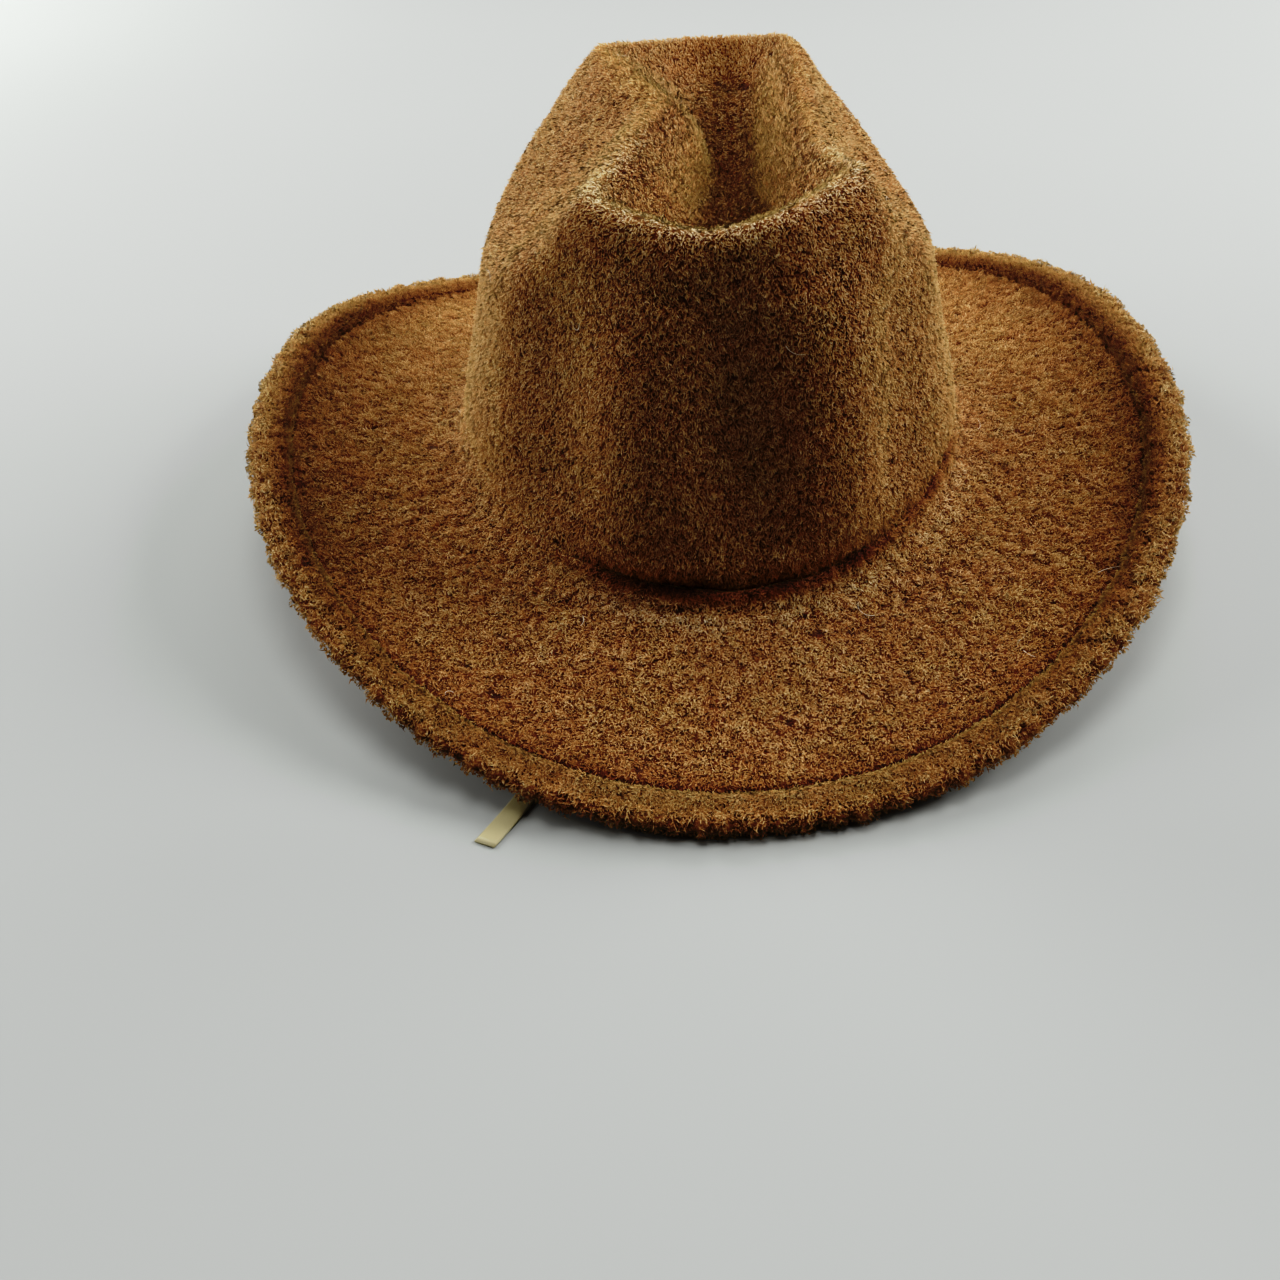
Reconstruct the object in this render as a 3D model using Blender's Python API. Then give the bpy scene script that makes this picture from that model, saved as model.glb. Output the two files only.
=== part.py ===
"""A plush western hat: a creased crown, a brim that rolls up at its sides, its bound edge and a ribbon end.

The hat rests on the front and back dips of its brim. The origin is on the surface that it stands on, under
the middle of the hat, with +Z up and +Y towards the front. Run with blender --background --python part.py.
"""
import bmesh
import bpy
import numpy as np

MM = 0.001
STATIONS = 60  # sections round the hat, the same on every piece, so that their walls keep an even gap
GAP = 0.3 * MM  # between pieces that are sewn to each other

# The seam is the line round the crown where the brim's turned-up inner edge ends.
SEAM_HEIGHT = 20 * MM  # of the seam above the ground, at the front and at the back
SEAM_SIDE_RISE = 13 * MM  # how much higher the seam runs at the sides
CROWN_HALF_WIDTH = 87 * MM  # outside of the crown at the seam
CROWN_HALF_LENGTH = 105 * MM

# Crown
CROWN_WALL = 3 * MM
CROWN_FOOT = 8 * MM  # how far the crown's wall goes on below the seam, inside the brim
UPRIGHT_WALL = 12 * MM  # the wall's upright stretch above the seam
LOW_BOW = 0.4  # the share of a section's bow that shows at the top of the upright stretch
SLOPE_SHARE = 0.5  # where the inner slope's bend lies on the way from the crest to the crease

# Brim
BRIM_HALF_WIDTH = 162 * MM  # to the middle of the rolled edge
BRIM_HALF_LENGTH = 187.5 * MM
BRIM_SQUARENESS = 0.96  # 1 is an ellipse, less is squarer
BRIM_THICKNESS = 4.5 * MM  # two layers of plush
CORE_THICKNESS = 2.8 * MM  # where the binding presses it flat
COLLAR_HEIGHT = (6 * MM, 10 * MM)  # of the brim's turned-up inner edge: front and back, sides
COLLAR_THICKNESS = 2.2 * MM
COLLAR_DROP = 0.6 * MM  # of its outer edge below its inner one
COLLAR_LEAN = 1.5 * MM  # how far it leans out on its way down
FILLET_RUN = (12 * MM, 22 * MM)  # how far out the turn-up starts: front and back, sides
EDGE_HEIGHT = (3.1 * MM, 41.7 * MM)  # middle of the rolled edge above the ground: front and back, sides
SLOPE_AT_CROWN = (-0.22, -0.02)  # rise over run of the brim at its inner end: front and back, sides
SLOPE_AT_EDGE = (0.06, 0.58)  # the same at its outer end

# Binding: a strip of plush folded round the brim's edge
BINDING_WIDTH = 14.5 * MM  # from the edge to the stitched groove
BINDING_THICKNESS = 2.5 * MM
BINDING_LIP = 3.5 * MM  # how far from the groove the strip has its full height
LIP_BULGE = 0.2  # the share of that run at which it has half its height
GROOVE = 0.8 * MM  # between the brim's full thickness and the strip
STEP_RUN = 1.5 * MM  # over which the brim thins to its core

# Ribbon end: from the inside of the crown at the back left, under the brim and out on the ground
RIBBON_WIDTH = 6.5 * MM
RIBBON_THICKNESS = 0.8 * MM
RIBBON_ROUTE = (
    # x, y, z of its middle line, in millimetres
    (-30.9, -93.5, 25.0),
    (-30.9, -93.5, 19.0),
    (-31.1, -93.8, 13.6),
    (-32.9, -97.3, 6.0),
    (-37.4, -106.3, 1.1),
    (-42.8, -119.0, 0.5),
    (-49.2, -136.0, 0.5),
    (-56.4, -153.0, 0.5),
    (-63.6, -167.2, 0.5),
    (-69.6, -176.9, 0.5),
    (-76.1, -186.6, 0.5),
)
RIBBON_STEPS = 36

# One row for each section of the crown, from the back centre round the right side and on.
# turn is in degrees. bow is how far the wall stands out from a straight one at half height. shoulder is
# where the wall bends in. dent is how deep the face above it is pressed in. crest is the top of the section,
# and drop is the share of the way down to the crease at which the inner slope bends.
# Lengths are millimetres from the middle of the hat, with z above the seam's height at the back.
CROWN_SECTIONS = (
    # turn, bow, shoulder x, y, z, dent, crest x, y, z, drop
    (0, -3.0, -2, -92, 86, 0.0, -6, -88, 117, 0.75),
    (20, 0.0, 24, -91, 86, 0.0, 20, -84, 122, 0.75),
    (36, 1.0, 46, -74, 102, 0.0, 39, -64, 123, 0.70),
    (52, -4.0, 58, -54, 92, 4.0, 36, -47, 121, 0.65),
    (72, -1.0, 70, -28, 78, 6.0, 32, -26, 118, 0.65),
    (90, -1.0, 75, 0, 74, 6.0, 32, 0, 118, 0.65),
    (112, -1.0, 70, 31, 79, 5.0, 33, 26, 120, 0.65),
    (135, -1.0, 56, 58, 93, 2.0, 35, 49, 121, 0.65),
    (152, 2.0, 39, 74, 102, 0.0, 32, 65, 119, 0.70),
    (166, 0.0, 22, 87, 88, 0.0, 20, 80, 116, 0.70),
    (180, -1.0, 2, 91, 86, 0.0, 4, 85, 115, 0.70),
    (194, 0.0, -20, 87, 88, 0.0, -14, 80, 116, 0.70),
    (208, 2.0, -39, 74, 104, 0.0, -31, 64, 119, 0.65),
    (225, -1.0, -56, 58, 93, 0.0, -29, 45, 120, 0.55),
    (248, -1.0, -70, 31, 80, 0.0, -21, 24, 120, 0.50),
    (270, -1.0, -75, 0, 74, 1.0, -14, 2, 119, 0.40),
    (288, -1.0, -70, -29, 78, 4.0, -23, -22, 120, 0.35),
    (308, -4.0, -58, -56, 94, 5.0, -31, -47, 121, 0.40),
    (324, -2.0, -45, -71, 106, 0.0, -38, -71, 120, 0.60),
    (340, 2.0, -26, -90, 86, 0.0, -23, -84, 120, 0.75),
)

# The bottom of the crease between the crests, from its back end to its front end, in the same frame.
CREASE = (
    # share of the way, x, y, z
    (0.00, 2, -54, 91),
    (0.25, 6, -22, 85),
    (0.50, 10, 8, 86),
    (0.75, 13, 38, 91),
    (1.00, 14, 62, 100),
)

# How far from each bend of a crown section its rounding starts.
ROUNDING = {
    "upright": 15 * MM,
    "bow": 20 * MM,
    "shoulder": 8 * MM,
    "dent": 14 * MM,
    "crest": 8 * MM,
    "slope": 12 * MM,
    "crease": 9 * MM,
}
LONGEST_ROUNDING = 0.45  # as a share of the straight stretch beside it

# Points that draw each stretch of a section.
BEND_POINTS = 3
FILLET_POINTS = 5
BRIM_POINTS = 6
EDGE_POINTS = 4
ROLL_POINTS = 7


def linear(hex_colour):
    """An sRGB hex colour as linear red, green, blue and alpha."""
    parts = np.array([int(hex_colour[i : i + 2], 16) for i in (0, 2, 4)]) / 255
    return (*np.where(parts <= 0.04045, parts / 12.92, ((parts + 0.055) / 1.055) ** 2.4), 1.0)


def material(name, hex_colour, roughness):
    """A Principled material of one colour."""
    made = bpy.data.materials.new(name)
    made.use_nodes = True
    shader = made.node_tree.nodes["Principled BSDF"]
    shader.inputs["Base Color"].default_value = linear(hex_colour)
    shader.inputs["Roughness"].default_value = roughness
    shader.inputs["Metallic"].default_value = 0.0
    return made


def add_object(name, points, faces, surface):
    """A smooth-shaded object of these points and faces, with its doubles merged and its faces turned out."""
    mesh = bpy.data.meshes.new(name)
    mesh.from_pydata(points.tolist(), [], faces.tolist())
    mesh.materials.append(surface)
    shape = bmesh.new()
    shape.from_mesh(mesh)
    bmesh.ops.remove_doubles(shape, verts=shape.verts, dist=0.001 * MM)
    bmesh.ops.recalc_face_normals(shape, faces=shape.faces)
    shape.to_mesh(mesh)
    shape.free()
    mesh.shade_smooth()
    made = bpy.data.objects.new(name, mesh)
    bpy.context.scene.collection.objects.link(made)
    return made


def grid_faces(rows, columns, rows_meet=False, columns_meet=True):
    """The quads of a grid of points, row by row, joined end to end where its rows or columns meet."""
    first_rows = np.arange(rows if rows_meet else rows - 1)
    first_columns = np.arange(columns if columns_meet else columns - 1)
    row, column = np.meshgrid(first_rows, first_columns, indexing="ij")
    next_row, next_column = (row + 1) % rows, (column + 1) % columns
    corners = (
        row * columns + column,
        row * columns + next_column,
        next_row * columns + next_column,
        next_row * columns + column,
    )
    return np.stack(corners, axis=-1).reshape(-1, 4)


def smooth_through(at, knots, values):
    """A cubic curve through the values at the knots, whose slope at a knot is that between its neighbours."""
    slope = np.gradient(values, knots, axis=0)
    i = np.clip(np.searchsorted(knots, at, side="right") - 1, 0, len(knots) - 2)
    width = (knots[i + 1] - knots[i])[:, None]
    t = (at - knots[i])[:, None] / width
    rise = t * t * (3 - 2 * t)
    bends = slope[i] * t * (1 - t) ** 2 - slope[i + 1] * t * t * (1 - t)
    return values[i] * (1 - rise) + values[i + 1] * rise + bends * width


def turns():
    """The angle of every section round the hat, from the back centre over the right side."""
    return np.linspace(0, 2 * np.pi, STATIONS, endpoint=False)


def blend(pair, turn):
    """A size that goes from its first value at the front and back to its second at the sides."""
    return pair[0] + (pair[1] - pair[0]) * np.sin(turn) ** 2


def power(value, exponent):
    """A signed power, which makes a squarer round from a sine and a cosine."""
    return np.sign(value) * np.abs(value) ** exponent


def seam_height(turn):
    return SEAM_HEIGHT + SEAM_SIDE_RISE * np.sin(turn) ** 2


def crown_base(turn):
    """The outside of the crown at the seam, in plan."""
    return np.stack([CROWN_HALF_WIDTH * np.sin(turn), -CROWN_HALF_LENGTH * np.cos(turn)], axis=-1)


def length(vectors):
    return np.linalg.norm(vectors, axis=-1, keepdims=True)


def bend(start, corner, end, shares):
    """Points at these shares of the quadratic curve from start to end that the corner pulls at."""
    return [(1 - t) ** 2 * start + 2 * t * (1 - t) * corner + t * t * end for t in shares]


def rounded_bend(before, corner, after, run, shares):
    """Points of the curve that rounds a corner, from a length of run before it to the same run after it."""
    start = corner + (before - corner) * np.minimum(run / length(before - corner), LONGEST_ROUNDING)
    end = corner + (after - corner) * np.minimum(run / length(after - corner), LONGEST_ROUNDING)
    return bend(start, corner, end, shares)


def crown_corners(turn):
    """The bends of every crown section, from its foot to the crease, as a dict of arrays."""
    rows = np.array(CROWN_SECTIONS, float)
    round_again = [360] + [0] * (rows.shape[1] - 1)
    rows = np.concatenate([rows[-3:] - round_again, rows, rows[:3] + round_again])
    read = smooth_through(np.degrees(turn), rows[:, 0], rows[:, 1:]) * MM
    bow, shoulder, dent = read[:, 0:1], read[:, 1:4], read[:, 4:5]
    crest, drop = read[:, 5:8], read[:, 8:9] / MM
    crease_rows = np.array(CREASE, float)
    crease = smooth_through((1 - np.cos(turn)) / 2, crease_rows[:, 0], crease_rows[:, 1:]) * MM
    for place in (shoulder, crest, crease):
        place[:, 2] += SEAM_HEIGHT
    plan = crown_base(turn)
    seam = seam_height(turn)
    outward = np.stack([np.sin(turn), -np.cos(turn), 0 * turn], axis=-1)
    inward_and_down = -(outward + [0, 0, 1]) / np.sqrt(2)
    upright = np.column_stack([plan, seam + UPRIGHT_WALL]) + outward * bow * LOW_BOW
    share = np.column_stack([SLOPE_SHARE + 0 * drop, SLOPE_SHARE + 0 * drop, drop])
    slope = crest + (crease - crest) * share
    return {
        "foot": np.column_stack([plan, seam - CROWN_FOOT]),
        "seam": np.column_stack([plan, seam]),
        "upright": upright,
        "bow": (upright + shoulder) / 2 + outward * bow * (1 - LOW_BOW / 2),
        "shoulder": shoulder,
        "dent": (shoulder + crest) / 2 + inward_and_down * dent,
        "crest": crest,
        "slope": slope,
        "crease": crease,
    }


def crown_rows(turn):
    """The crown's outer surface as rows of points, from its foot over the crest to the bottom crease."""
    corners = crown_corners(turn)
    names = list(corners)
    rows = [corners["foot"], corners["seam"]]
    for before, name, after in zip(names[1:], names[2:], names[3:]):
        shares = np.linspace(0, 1, BEND_POINTS)
        rows += rounded_bend(corners[before], corners[name], corners[after], ROUNDING[name], shares)
    across = np.roll(corners["slope"][::-1], 1, axis=0)  # the section that faces this one over the crease
    shares = np.linspace(0, 0.5, BEND_POINTS)
    rows += rounded_bend(corners["slope"], corners["crease"], across, ROUNDING["crease"], shares)
    return np.stack(rows)


def add_crown():
    """The crown: one sheet of plush with its three dents, thickened inwards."""
    rows = crown_rows(turns())
    surface = material("crown_plush", "8A5A22", 0.95)
    crown = add_object("crown", rows.reshape(-1, 3), grid_faces(len(rows), STATIONS), surface)
    wall = crown.modifiers.new("wall", "SOLIDIFY")
    wall.thickness = CROWN_WALL
    wall.offset = -1
    wall.use_even_offset = True
    return crown


def brim_run(turn):
    """How far the brim reaches from the crown to the middle of its rolled edge, and in which direction."""
    sine, cosine = np.sin(turn), np.cos(turn)
    edge_x = BRIM_HALF_WIDTH * power(sine, BRIM_SQUARENESS)
    edge_y = -BRIM_HALF_LENGTH * power(cosine, BRIM_SQUARENESS)
    out = np.stack([edge_x, edge_y], axis=-1) - crown_base(turn)
    run = length(out)
    return run[:, 0], out / run


def brim_points(turn, run, height):
    """Points of the brim's sections: run out from the crown, and height off the brim's middle surface.

    The middle surface is a cubic between the slopes at the crown and at the edge, and straight past the edge.
    run and height have one row for each point of a section and one column for each section.
    """
    reach, out = brim_run(turn)
    inner = seam_height(turn) - blend(COLLAR_HEIGHT, turn) - BRIM_THICKNESS / 2
    outer = blend(EDGE_HEIGHT, turn)
    slope_in, slope_out = blend(SLOPE_AT_CROWN, turn), blend(SLOPE_AT_EDGE, turn)
    t = np.minimum(run / reach, 1)
    rise = t * t * (3 - 2 * t)
    bends = slope_in * t * (1 - t) ** 2 - slope_out * t * t * (1 - t)
    z = inner * (1 - rise) + outer * rise + reach * bends
    rise_slope = 6 * t * (1 - t) * (outer - inner) / reach
    slope = rise_slope + slope_in * (1 - t) * (1 - 3 * t) + slope_out * t * (3 * t - 2)
    past_edge = np.maximum(run - reach, 0)
    flat = 1 / np.sqrt(1 + slope**2)  # the cosine of the slope's angle
    along = np.minimum(run, reach) + (past_edge - height * slope) * flat
    up = z + (past_edge * slope + height) * flat
    plan = crown_base(turn)[None] + out[None] * along[..., None]
    return np.concatenate([plan, up[..., None]], axis=-1)


def groove_run(turn):
    """How far from the crown the stitched groove lies."""
    reach = brim_run(turn)[0]
    edge_slope = blend(SLOPE_AT_EDGE, turn)
    return reach - (BINDING_WIDTH - roll_radius()) / np.sqrt(1 + edge_slope**2)


def roll_radius():
    """Half the thickness of the bound edge."""
    return CORE_THICKNESS / 2 + GAP + BINDING_THICKNESS


def half_round(reach, radius, points):
    """Run and height of points round the edge, from its top to its underside."""
    angle = np.linspace(np.pi / 2, -np.pi / 2, points)[:, None]
    return list(zip(reach + radius * np.cos(angle), radius * np.sin(angle) + 0 * reach))


def along_brim(turn, section):
    """The points of a section that is a list of pairs of run and height."""
    run, height = (np.stack([side + 0 * turn for side in sides]) for sides in zip(*section))
    return brim_points(turn, run, height)


def beside_crown(turn, distance, z):
    """Points at this distance out from the crown and at height z."""
    plan = crown_base(turn) + brim_run(turn)[1] * distance
    return np.column_stack([plan, z])


def add_ring(name, sections, surface):
    """A closed solid whose sections go round the hat."""
    faces = grid_faces(len(sections), STATIONS, rows_meet=True)
    return add_object(name, sections.reshape(-1, 3), faces, surface)


def add_brim():
    """The brim, from its turned-up inner edge out to the core that the binding is folded round."""
    turn = turns()
    reach = brim_run(turn)[0]
    end = groove_run(turn) - GROOVE
    thick, core = BRIM_THICKNESS / 2, CORE_THICKNESS / 2
    fillet = blend(FILLET_RUN, turn)
    seam = seam_height(turn)
    underside = seam - blend(COLLAR_HEIGHT, turn) - BRIM_THICKNESS
    collar_top = beside_crown(turn, GAP, seam)
    collar_side = beside_crown(turn, GAP + COLLAR_THICKNESS, seam - COLLAR_DROP)
    collar_foot = beside_crown(turn, GAP + COLLAR_THICKNESS + COLLAR_LEAN, underside + BRIM_THICKNESS)
    fillet_end = along_brim(turn, [(fillet, thick)])[0]
    turned_up = bend(collar_side, collar_foot, fillet_end, np.linspace(0, 1, FILLET_POINTS))
    open_brim = [fillet + (end - STEP_RUN - fillet) * t for t in np.linspace(0, 1, BRIM_POINTS)]
    top = [(run, thick) for run in open_brim[1:]] + [(end, core), ((end + reach) / 2, core)]
    under = [((end + reach) / 2, -core), (end, -core)] + [(run, -thick) for run in open_brim[::-1]]
    outer = along_brim(turn, top + half_round(reach, core, EDGE_POINTS) + under)
    inner_foot = beside_crown(turn, GAP, underside)
    sections = np.concatenate([[collar_top], turned_up, outer, [inner_foot]])
    return add_ring("brim", sections, material("brim_plush", "8A5723", 0.95))


def add_binding():
    """The strip round the brim's edge, flattened where the hat rests on it."""
    turn = turns()
    reach = brim_run(turn)[0]
    start = groove_run(turn)
    inside, outside = CORE_THICKNESS / 2 + GAP, roll_radius()
    lip = start + BINDING_LIP
    side = [(start, inside), (start + LIP_BULGE * BINDING_LIP, (inside + outside) / 2), (lip, outside)]
    top = side + half_round(reach, outside, ROLL_POINTS)
    underside = [(run, -height) for run, height in side[::-1]]
    back_under = [((start + reach) / 2, -inside)]
    lining = half_round(reach, inside, EDGE_POINTS)[::-1]
    sections = along_brim(turn, top + underside + back_under + lining + [((start + reach) / 2, inside)])
    sections[..., 2] = np.maximum(sections[..., 2], 0)
    return add_ring("brim_binding", sections, material("binding_plush", "8E5C26", 0.95))


def add_ribbon():
    """The end of a satin ribbon, flat along its route."""
    route = np.array(RIBBON_ROUTE) * MM
    along = np.concatenate([[0], np.cumsum(np.linalg.norm(np.diff(route, axis=0), axis=1))])
    middle = smooth_through(np.linspace(0, along[-1], RIBBON_STEPS), along, route)
    ahead = np.gradient(middle, axis=0)
    ahead /= length(ahead)
    leaves = middle[-1] - middle[0]
    across = np.cross([0, 0, 1], leaves)
    across /= np.linalg.norm(across)
    up = np.cross(ahead, across)
    up /= length(up)
    half_width, half_thickness = across * RIBBON_WIDTH / 2, up * RIBBON_THICKNESS / 2
    corners = [middle - half_width - half_thickness, middle + half_width - half_thickness]
    corners += [middle + half_width + half_thickness, middle - half_width + half_thickness]
    sections = np.stack(corners, axis=1)
    faces = grid_faces(RIBBON_STEPS, 4).tolist()
    last = 4 * (RIBBON_STEPS - 1)
    faces += [[0, 1, 2, 3], [last, last + 1, last + 2, last + 3]]
    surface = material("ribbon_satin", "8C7A45", 0.45)
    return add_object("ribbon_tail", sections.reshape(-1, 3), np.array(faces), surface)


def main():
    for old in list(bpy.data.objects):
        bpy.data.objects.remove(old, do_unlink=True)
    add_crown()
    add_brim()
    add_binding()
    add_ribbon()


main()
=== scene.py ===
"""A plush western hat seen from behind and above, on a plain pale floor.

The shapes of the crown, the brim and its binding are worked out from the same sizes as the solids they stand
for, on finer grids. Each gets a clumped fleece surface and a coat of short curved locks of pile.
"""

import bpy
import numpy as np
from mathutils import Matrix


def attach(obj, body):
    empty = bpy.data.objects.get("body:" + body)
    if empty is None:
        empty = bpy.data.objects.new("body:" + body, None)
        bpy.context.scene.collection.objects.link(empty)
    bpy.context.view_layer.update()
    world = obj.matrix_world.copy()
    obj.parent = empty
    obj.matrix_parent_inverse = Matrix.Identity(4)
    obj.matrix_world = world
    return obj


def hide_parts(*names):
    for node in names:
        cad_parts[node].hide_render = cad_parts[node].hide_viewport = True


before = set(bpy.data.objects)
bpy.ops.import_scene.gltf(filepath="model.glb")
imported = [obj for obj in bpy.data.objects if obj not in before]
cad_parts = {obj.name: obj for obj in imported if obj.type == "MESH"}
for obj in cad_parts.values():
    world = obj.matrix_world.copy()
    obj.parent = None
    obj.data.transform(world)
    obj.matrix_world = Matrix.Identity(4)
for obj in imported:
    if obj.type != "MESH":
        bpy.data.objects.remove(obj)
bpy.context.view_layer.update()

MM = 0.001

# Sizes of the hat, the same as the solids'
GAP = 0.3 * MM  # between pieces that are sewn to each other
SEAM_HEIGHT = 20 * MM  # of the seam round the crown, at the front and at the back
SEAM_SIDE_RISE = 13 * MM  # how much higher the seam lies at the sides
CROWN_HALF_WIDTH = 87 * MM  # outside of the crown at the seam
CROWN_HALF_LENGTH = 105 * MM
CROWN_WALL = 3 * MM
CROWN_FOOT = 8 * MM  # how far the crown's wall goes on below the seam, inside the brim
UPRIGHT_WALL = 12 * MM  # height above the seam to which the wall stands upright
LOW_BOW = 0.4  # of the bow at half height, just above the seam
SLOPE_SHARE = 0.5  # of the way in to the crease at which the inner slope bends
BRIM_HALF_WIDTH = 162 * MM  # to the middle of the rolled edge
BRIM_HALF_LENGTH = 187.5 * MM
BRIM_SQUARENESS = 0.96  # exponent of the brim's outline, 1 for an ellipse
BRIM_THICKNESS = 4.5 * MM
CORE_THICKNESS = 2.8 * MM  # where the binding presses it flat
FRONT_DROP = (3.2 * MM, 6 * MM)  # right, left: how far the plush brim sags beside its front
FRONT_DROP_PEAK = 0.186  # the highest value of the curve that it follows
COLLAR_HEIGHT = (6 * MM, 10 * MM)  # front and back, sides, as in all the pairs below
COLLAR_THICKNESS = 2.2 * MM
COLLAR_DROP = 0.6 * MM  # of its outer edge below the seam
COLLAR_LEAN = 1.5 * MM
FILLET_RUN = (12 * MM, 22 * MM)  # how far out from the crown the turned-up part begins
EDGE_HEIGHT = (3.1 * MM, 41.7 * MM)  # of the middle of the rolled edge
SLOPE_AT_CROWN = (-0.22, -0.02)
SLOPE_AT_EDGE = (0.06, 0.58)
BINDING_WIDTH = 14.5 * MM  # from the edge to the stitched groove
BINDING_THICKNESS = 2.5 * MM
BINDING_LIP = 3.5 * MM  # the run over which the binding swells beside the groove
LIP_BULGE = 0.2  # share of that run at which it is half swollen
GROOVE = 0.8 * MM  # width of the stitched groove
STEP_RUN = 1.5 * MM  # over which the brim thins towards it
TONGUE = 2.4 * MM  # how far the brim goes on under the binding's lip
RIBBON_WIDTH = 6.5 * MM
RIBBON_THICKNESS = 0.8 * MM
RIBBON_SQUARENESS = (0.35, 0.9)  # exponents of its section, across and up
RIBBON_ROUTE = (
    # x, y, z of its middle line, in millimetres
    (-30.9, -93.5, 25.0),
    (-30.9, -93.5, 19.0),
    (-31.1, -93.8, 13.6),
    (-32.9, -97.3, 6.0),
    (-37.4, -106.3, 1.1),
    (-42.8, -119.0, 0.5),
    (-49.2, -136.0, 0.5),
    (-56.4, -153.0, 0.5),
    (-63.6, -167.2, 0.5),
    (-69.6, -176.9, 0.5),
    (-76.1, -186.6, 0.5),
)

# One row for each section of the crown, from the back centre round the right side and on.
# turn is in degrees, bow is how far the wall stands out at half height, shoulder is where the wall bends in,
# dent is how deep the face above it is pressed in, crest is the top of the section, and drop is the share of
# the way down to the crease at which the inner slope bends. Lengths are millimetres.
CROWN_SECTIONS = (
    # turn, bow, shoulder x, y, z, dent, crest x, y, z, drop
    (0, -3.0, -2, -92, 86, 0.0, -6, -88, 117, 0.75),
    (20, 0.0, 24, -91, 86, 0.0, 20, -84, 122, 0.75),
    (36, 1.0, 46, -74, 102, 0.0, 39, -64, 123, 0.70),
    (52, -4.0, 58, -54, 92, 4.0, 36, -47, 121, 0.65),
    (72, -1.0, 70, -28, 78, 6.0, 32, -26, 118, 0.65),
    (90, -1.0, 75, 0, 74, 6.0, 32, 0, 118, 0.65),
    (112, -1.0, 70, 31, 79, 5.0, 33, 26, 120, 0.65),
    (135, -1.0, 56, 58, 93, 2.0, 35, 49, 121, 0.65),
    (152, 2.0, 39, 74, 102, 0.0, 32, 65, 119, 0.70),
    (166, 0.0, 22, 87, 88, 0.0, 20, 80, 116, 0.70),
    (180, -1.0, 2, 91, 86, 0.0, 4, 85, 115, 0.70),
    (194, 0.0, -20, 87, 88, 0.0, -14, 80, 116, 0.70),
    (208, 2.0, -39, 74, 104, 0.0, -31, 64, 119, 0.65),
    (225, -1.0, -56, 58, 93, 0.0, -29, 45, 120, 0.55),
    (248, -1.0, -70, 31, 80, 0.0, -21, 24, 120, 0.50),
    (270, -1.0, -75, 0, 74, 1.0, -14, 2, 119, 0.40),
    (288, -1.0, -70, -29, 78, 4.0, -23, -22, 120, 0.35),
    (308, -4.0, -58, -56, 94, 5.0, -31, -47, 121, 0.40),
    (324, -2.0, -45, -71, 106, 0.0, -38, -71, 120, 0.60),
    (340, 2.0, -26, -90, 86, 0.0, -23, -84, 120, 0.75),
)
CREASE = (
    # share of the way from its back end to its front end, x, y, z
    (0.00, 2, -54, 91),
    (0.25, 6, -22, 85),
    (0.50, 10, 8, 86),
    (0.75, 13, 38, 91),
    (1.00, 14, 62, 100),
)
ROUNDING = {
    "upright": 15 * MM,
    "bow": 20 * MM,
    "shoulder": 8 * MM,
    "dent": 14 * MM,
    "crest": 14 * MM,
    "slope": 16 * MM,
    "floor": 13 * MM,
    "crease": 14 * MM,
}
CREASE_FLOOR = (0.34, 0.34, 0.13)  # x, y, z share of the way up to the crest at which the crease's floor ends
LONGEST_ROUNDING = 0.45  # of the way to the next corner
CREST_LIFT = 0.5 * MM  # makes up for the fleece's rounder crest
SOFT_CREST = 9  # rows over which the crest at the back is rounded
BACK_CREST_DROP = 1.0 * MM  # of that rounded crest
BACK_HALF = (0.2, 0.7)  # cosines of the turn between which the back's crest begins
CREST_HEIGHT = (88 * MM, 100 * MM)  # heights between which it begins
CREST_HIGHLIGHT, CREST_HIGHLIGHT_ROWS = 0.42, 3.5  # painted highlight: the pile on the crest at the back is painted paler
CREASE_ROWS = (0.8, 0.98)  # shares of the crown's rows between which its crease begins
CREASE_END = (2 * MM, 8 * MM)  # distances from its two ends between which the fleece begins
CREASE_COMB = 0.7  # how far the pile at the bottom of the crease lies along it
WALL_ROWS = 0.6  # share of the crown's rows that are its wall, and not its top
SIDE_SWELL, SIDE_SWELL_HEIGHT = 2.2 * MM, 10 * MM  # of the wall just above the seam, at the sides

# Soft folds of the crown's wall, which only the fleece has: turn in degrees, swell in millimetres
CROWN_FOLDS = (
    (-90, 0.0),
    (-74, 0.4),
    (-57, 2.0),
    (-40, -2.6),
    (-20, 1.6),
    (6, -0.8),
    (26, 3.2),
    (40, -3.2),
    (54, 2.2),
    (75, 0.2),
    (90, 0.0),
)
FOLD_RISE = 26 * MM  # the folds fade in over this height above the seam
FOLD_TOP = (96 * MM, 128 * MM)  # and out between these heights

# Seams
SEAM_SHOWS = (-26, 60)  # turns in degrees between which the seam round the crown is a tucked groove with painted shade, and opposite
SEAM_FADE = 14  # degrees over which it closes up
SEAM_WEAR, SEAM_WEAR_LENGTH = 0.8, 8 * MM  # the pile bridges it unevenly
SEAM_TUCK = 1.2 * MM  # how far the crown's edge turns in at the seam
SEAM_TUCK_HEIGHT = 4.5 * MM
SEAM_SWELL = 1.2 * MM  # of the wall above the tuck
SEAM_LIFT, SEAM_LIFT_RUN = 2.0 * MM, 9 * MM  # how far the brim's inner edge stands up into the seam
SEAM_DARK = (5.0 * MM, 3.0 * MM)  # how far above and below the seam its pile is darkened by painted shade
SEAM_LIGHT = 0.1  # of the pile in the seam, darkened as painted shade
SEAM_RISE, SEAM_RISE_WIDTH = 9 * MM, 5 * MM  # where the brim turns up beside it
SEAM_RISE_LIGHT = 0.25  # painted highlight: how much lighter the pile is there
WELT_GROOVE = 6.0 * MM  # distance of the second line of painted shade from the seam, over the brim's edge
WELT_GROOVE_WIDTH = 1.2 * MM
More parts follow.
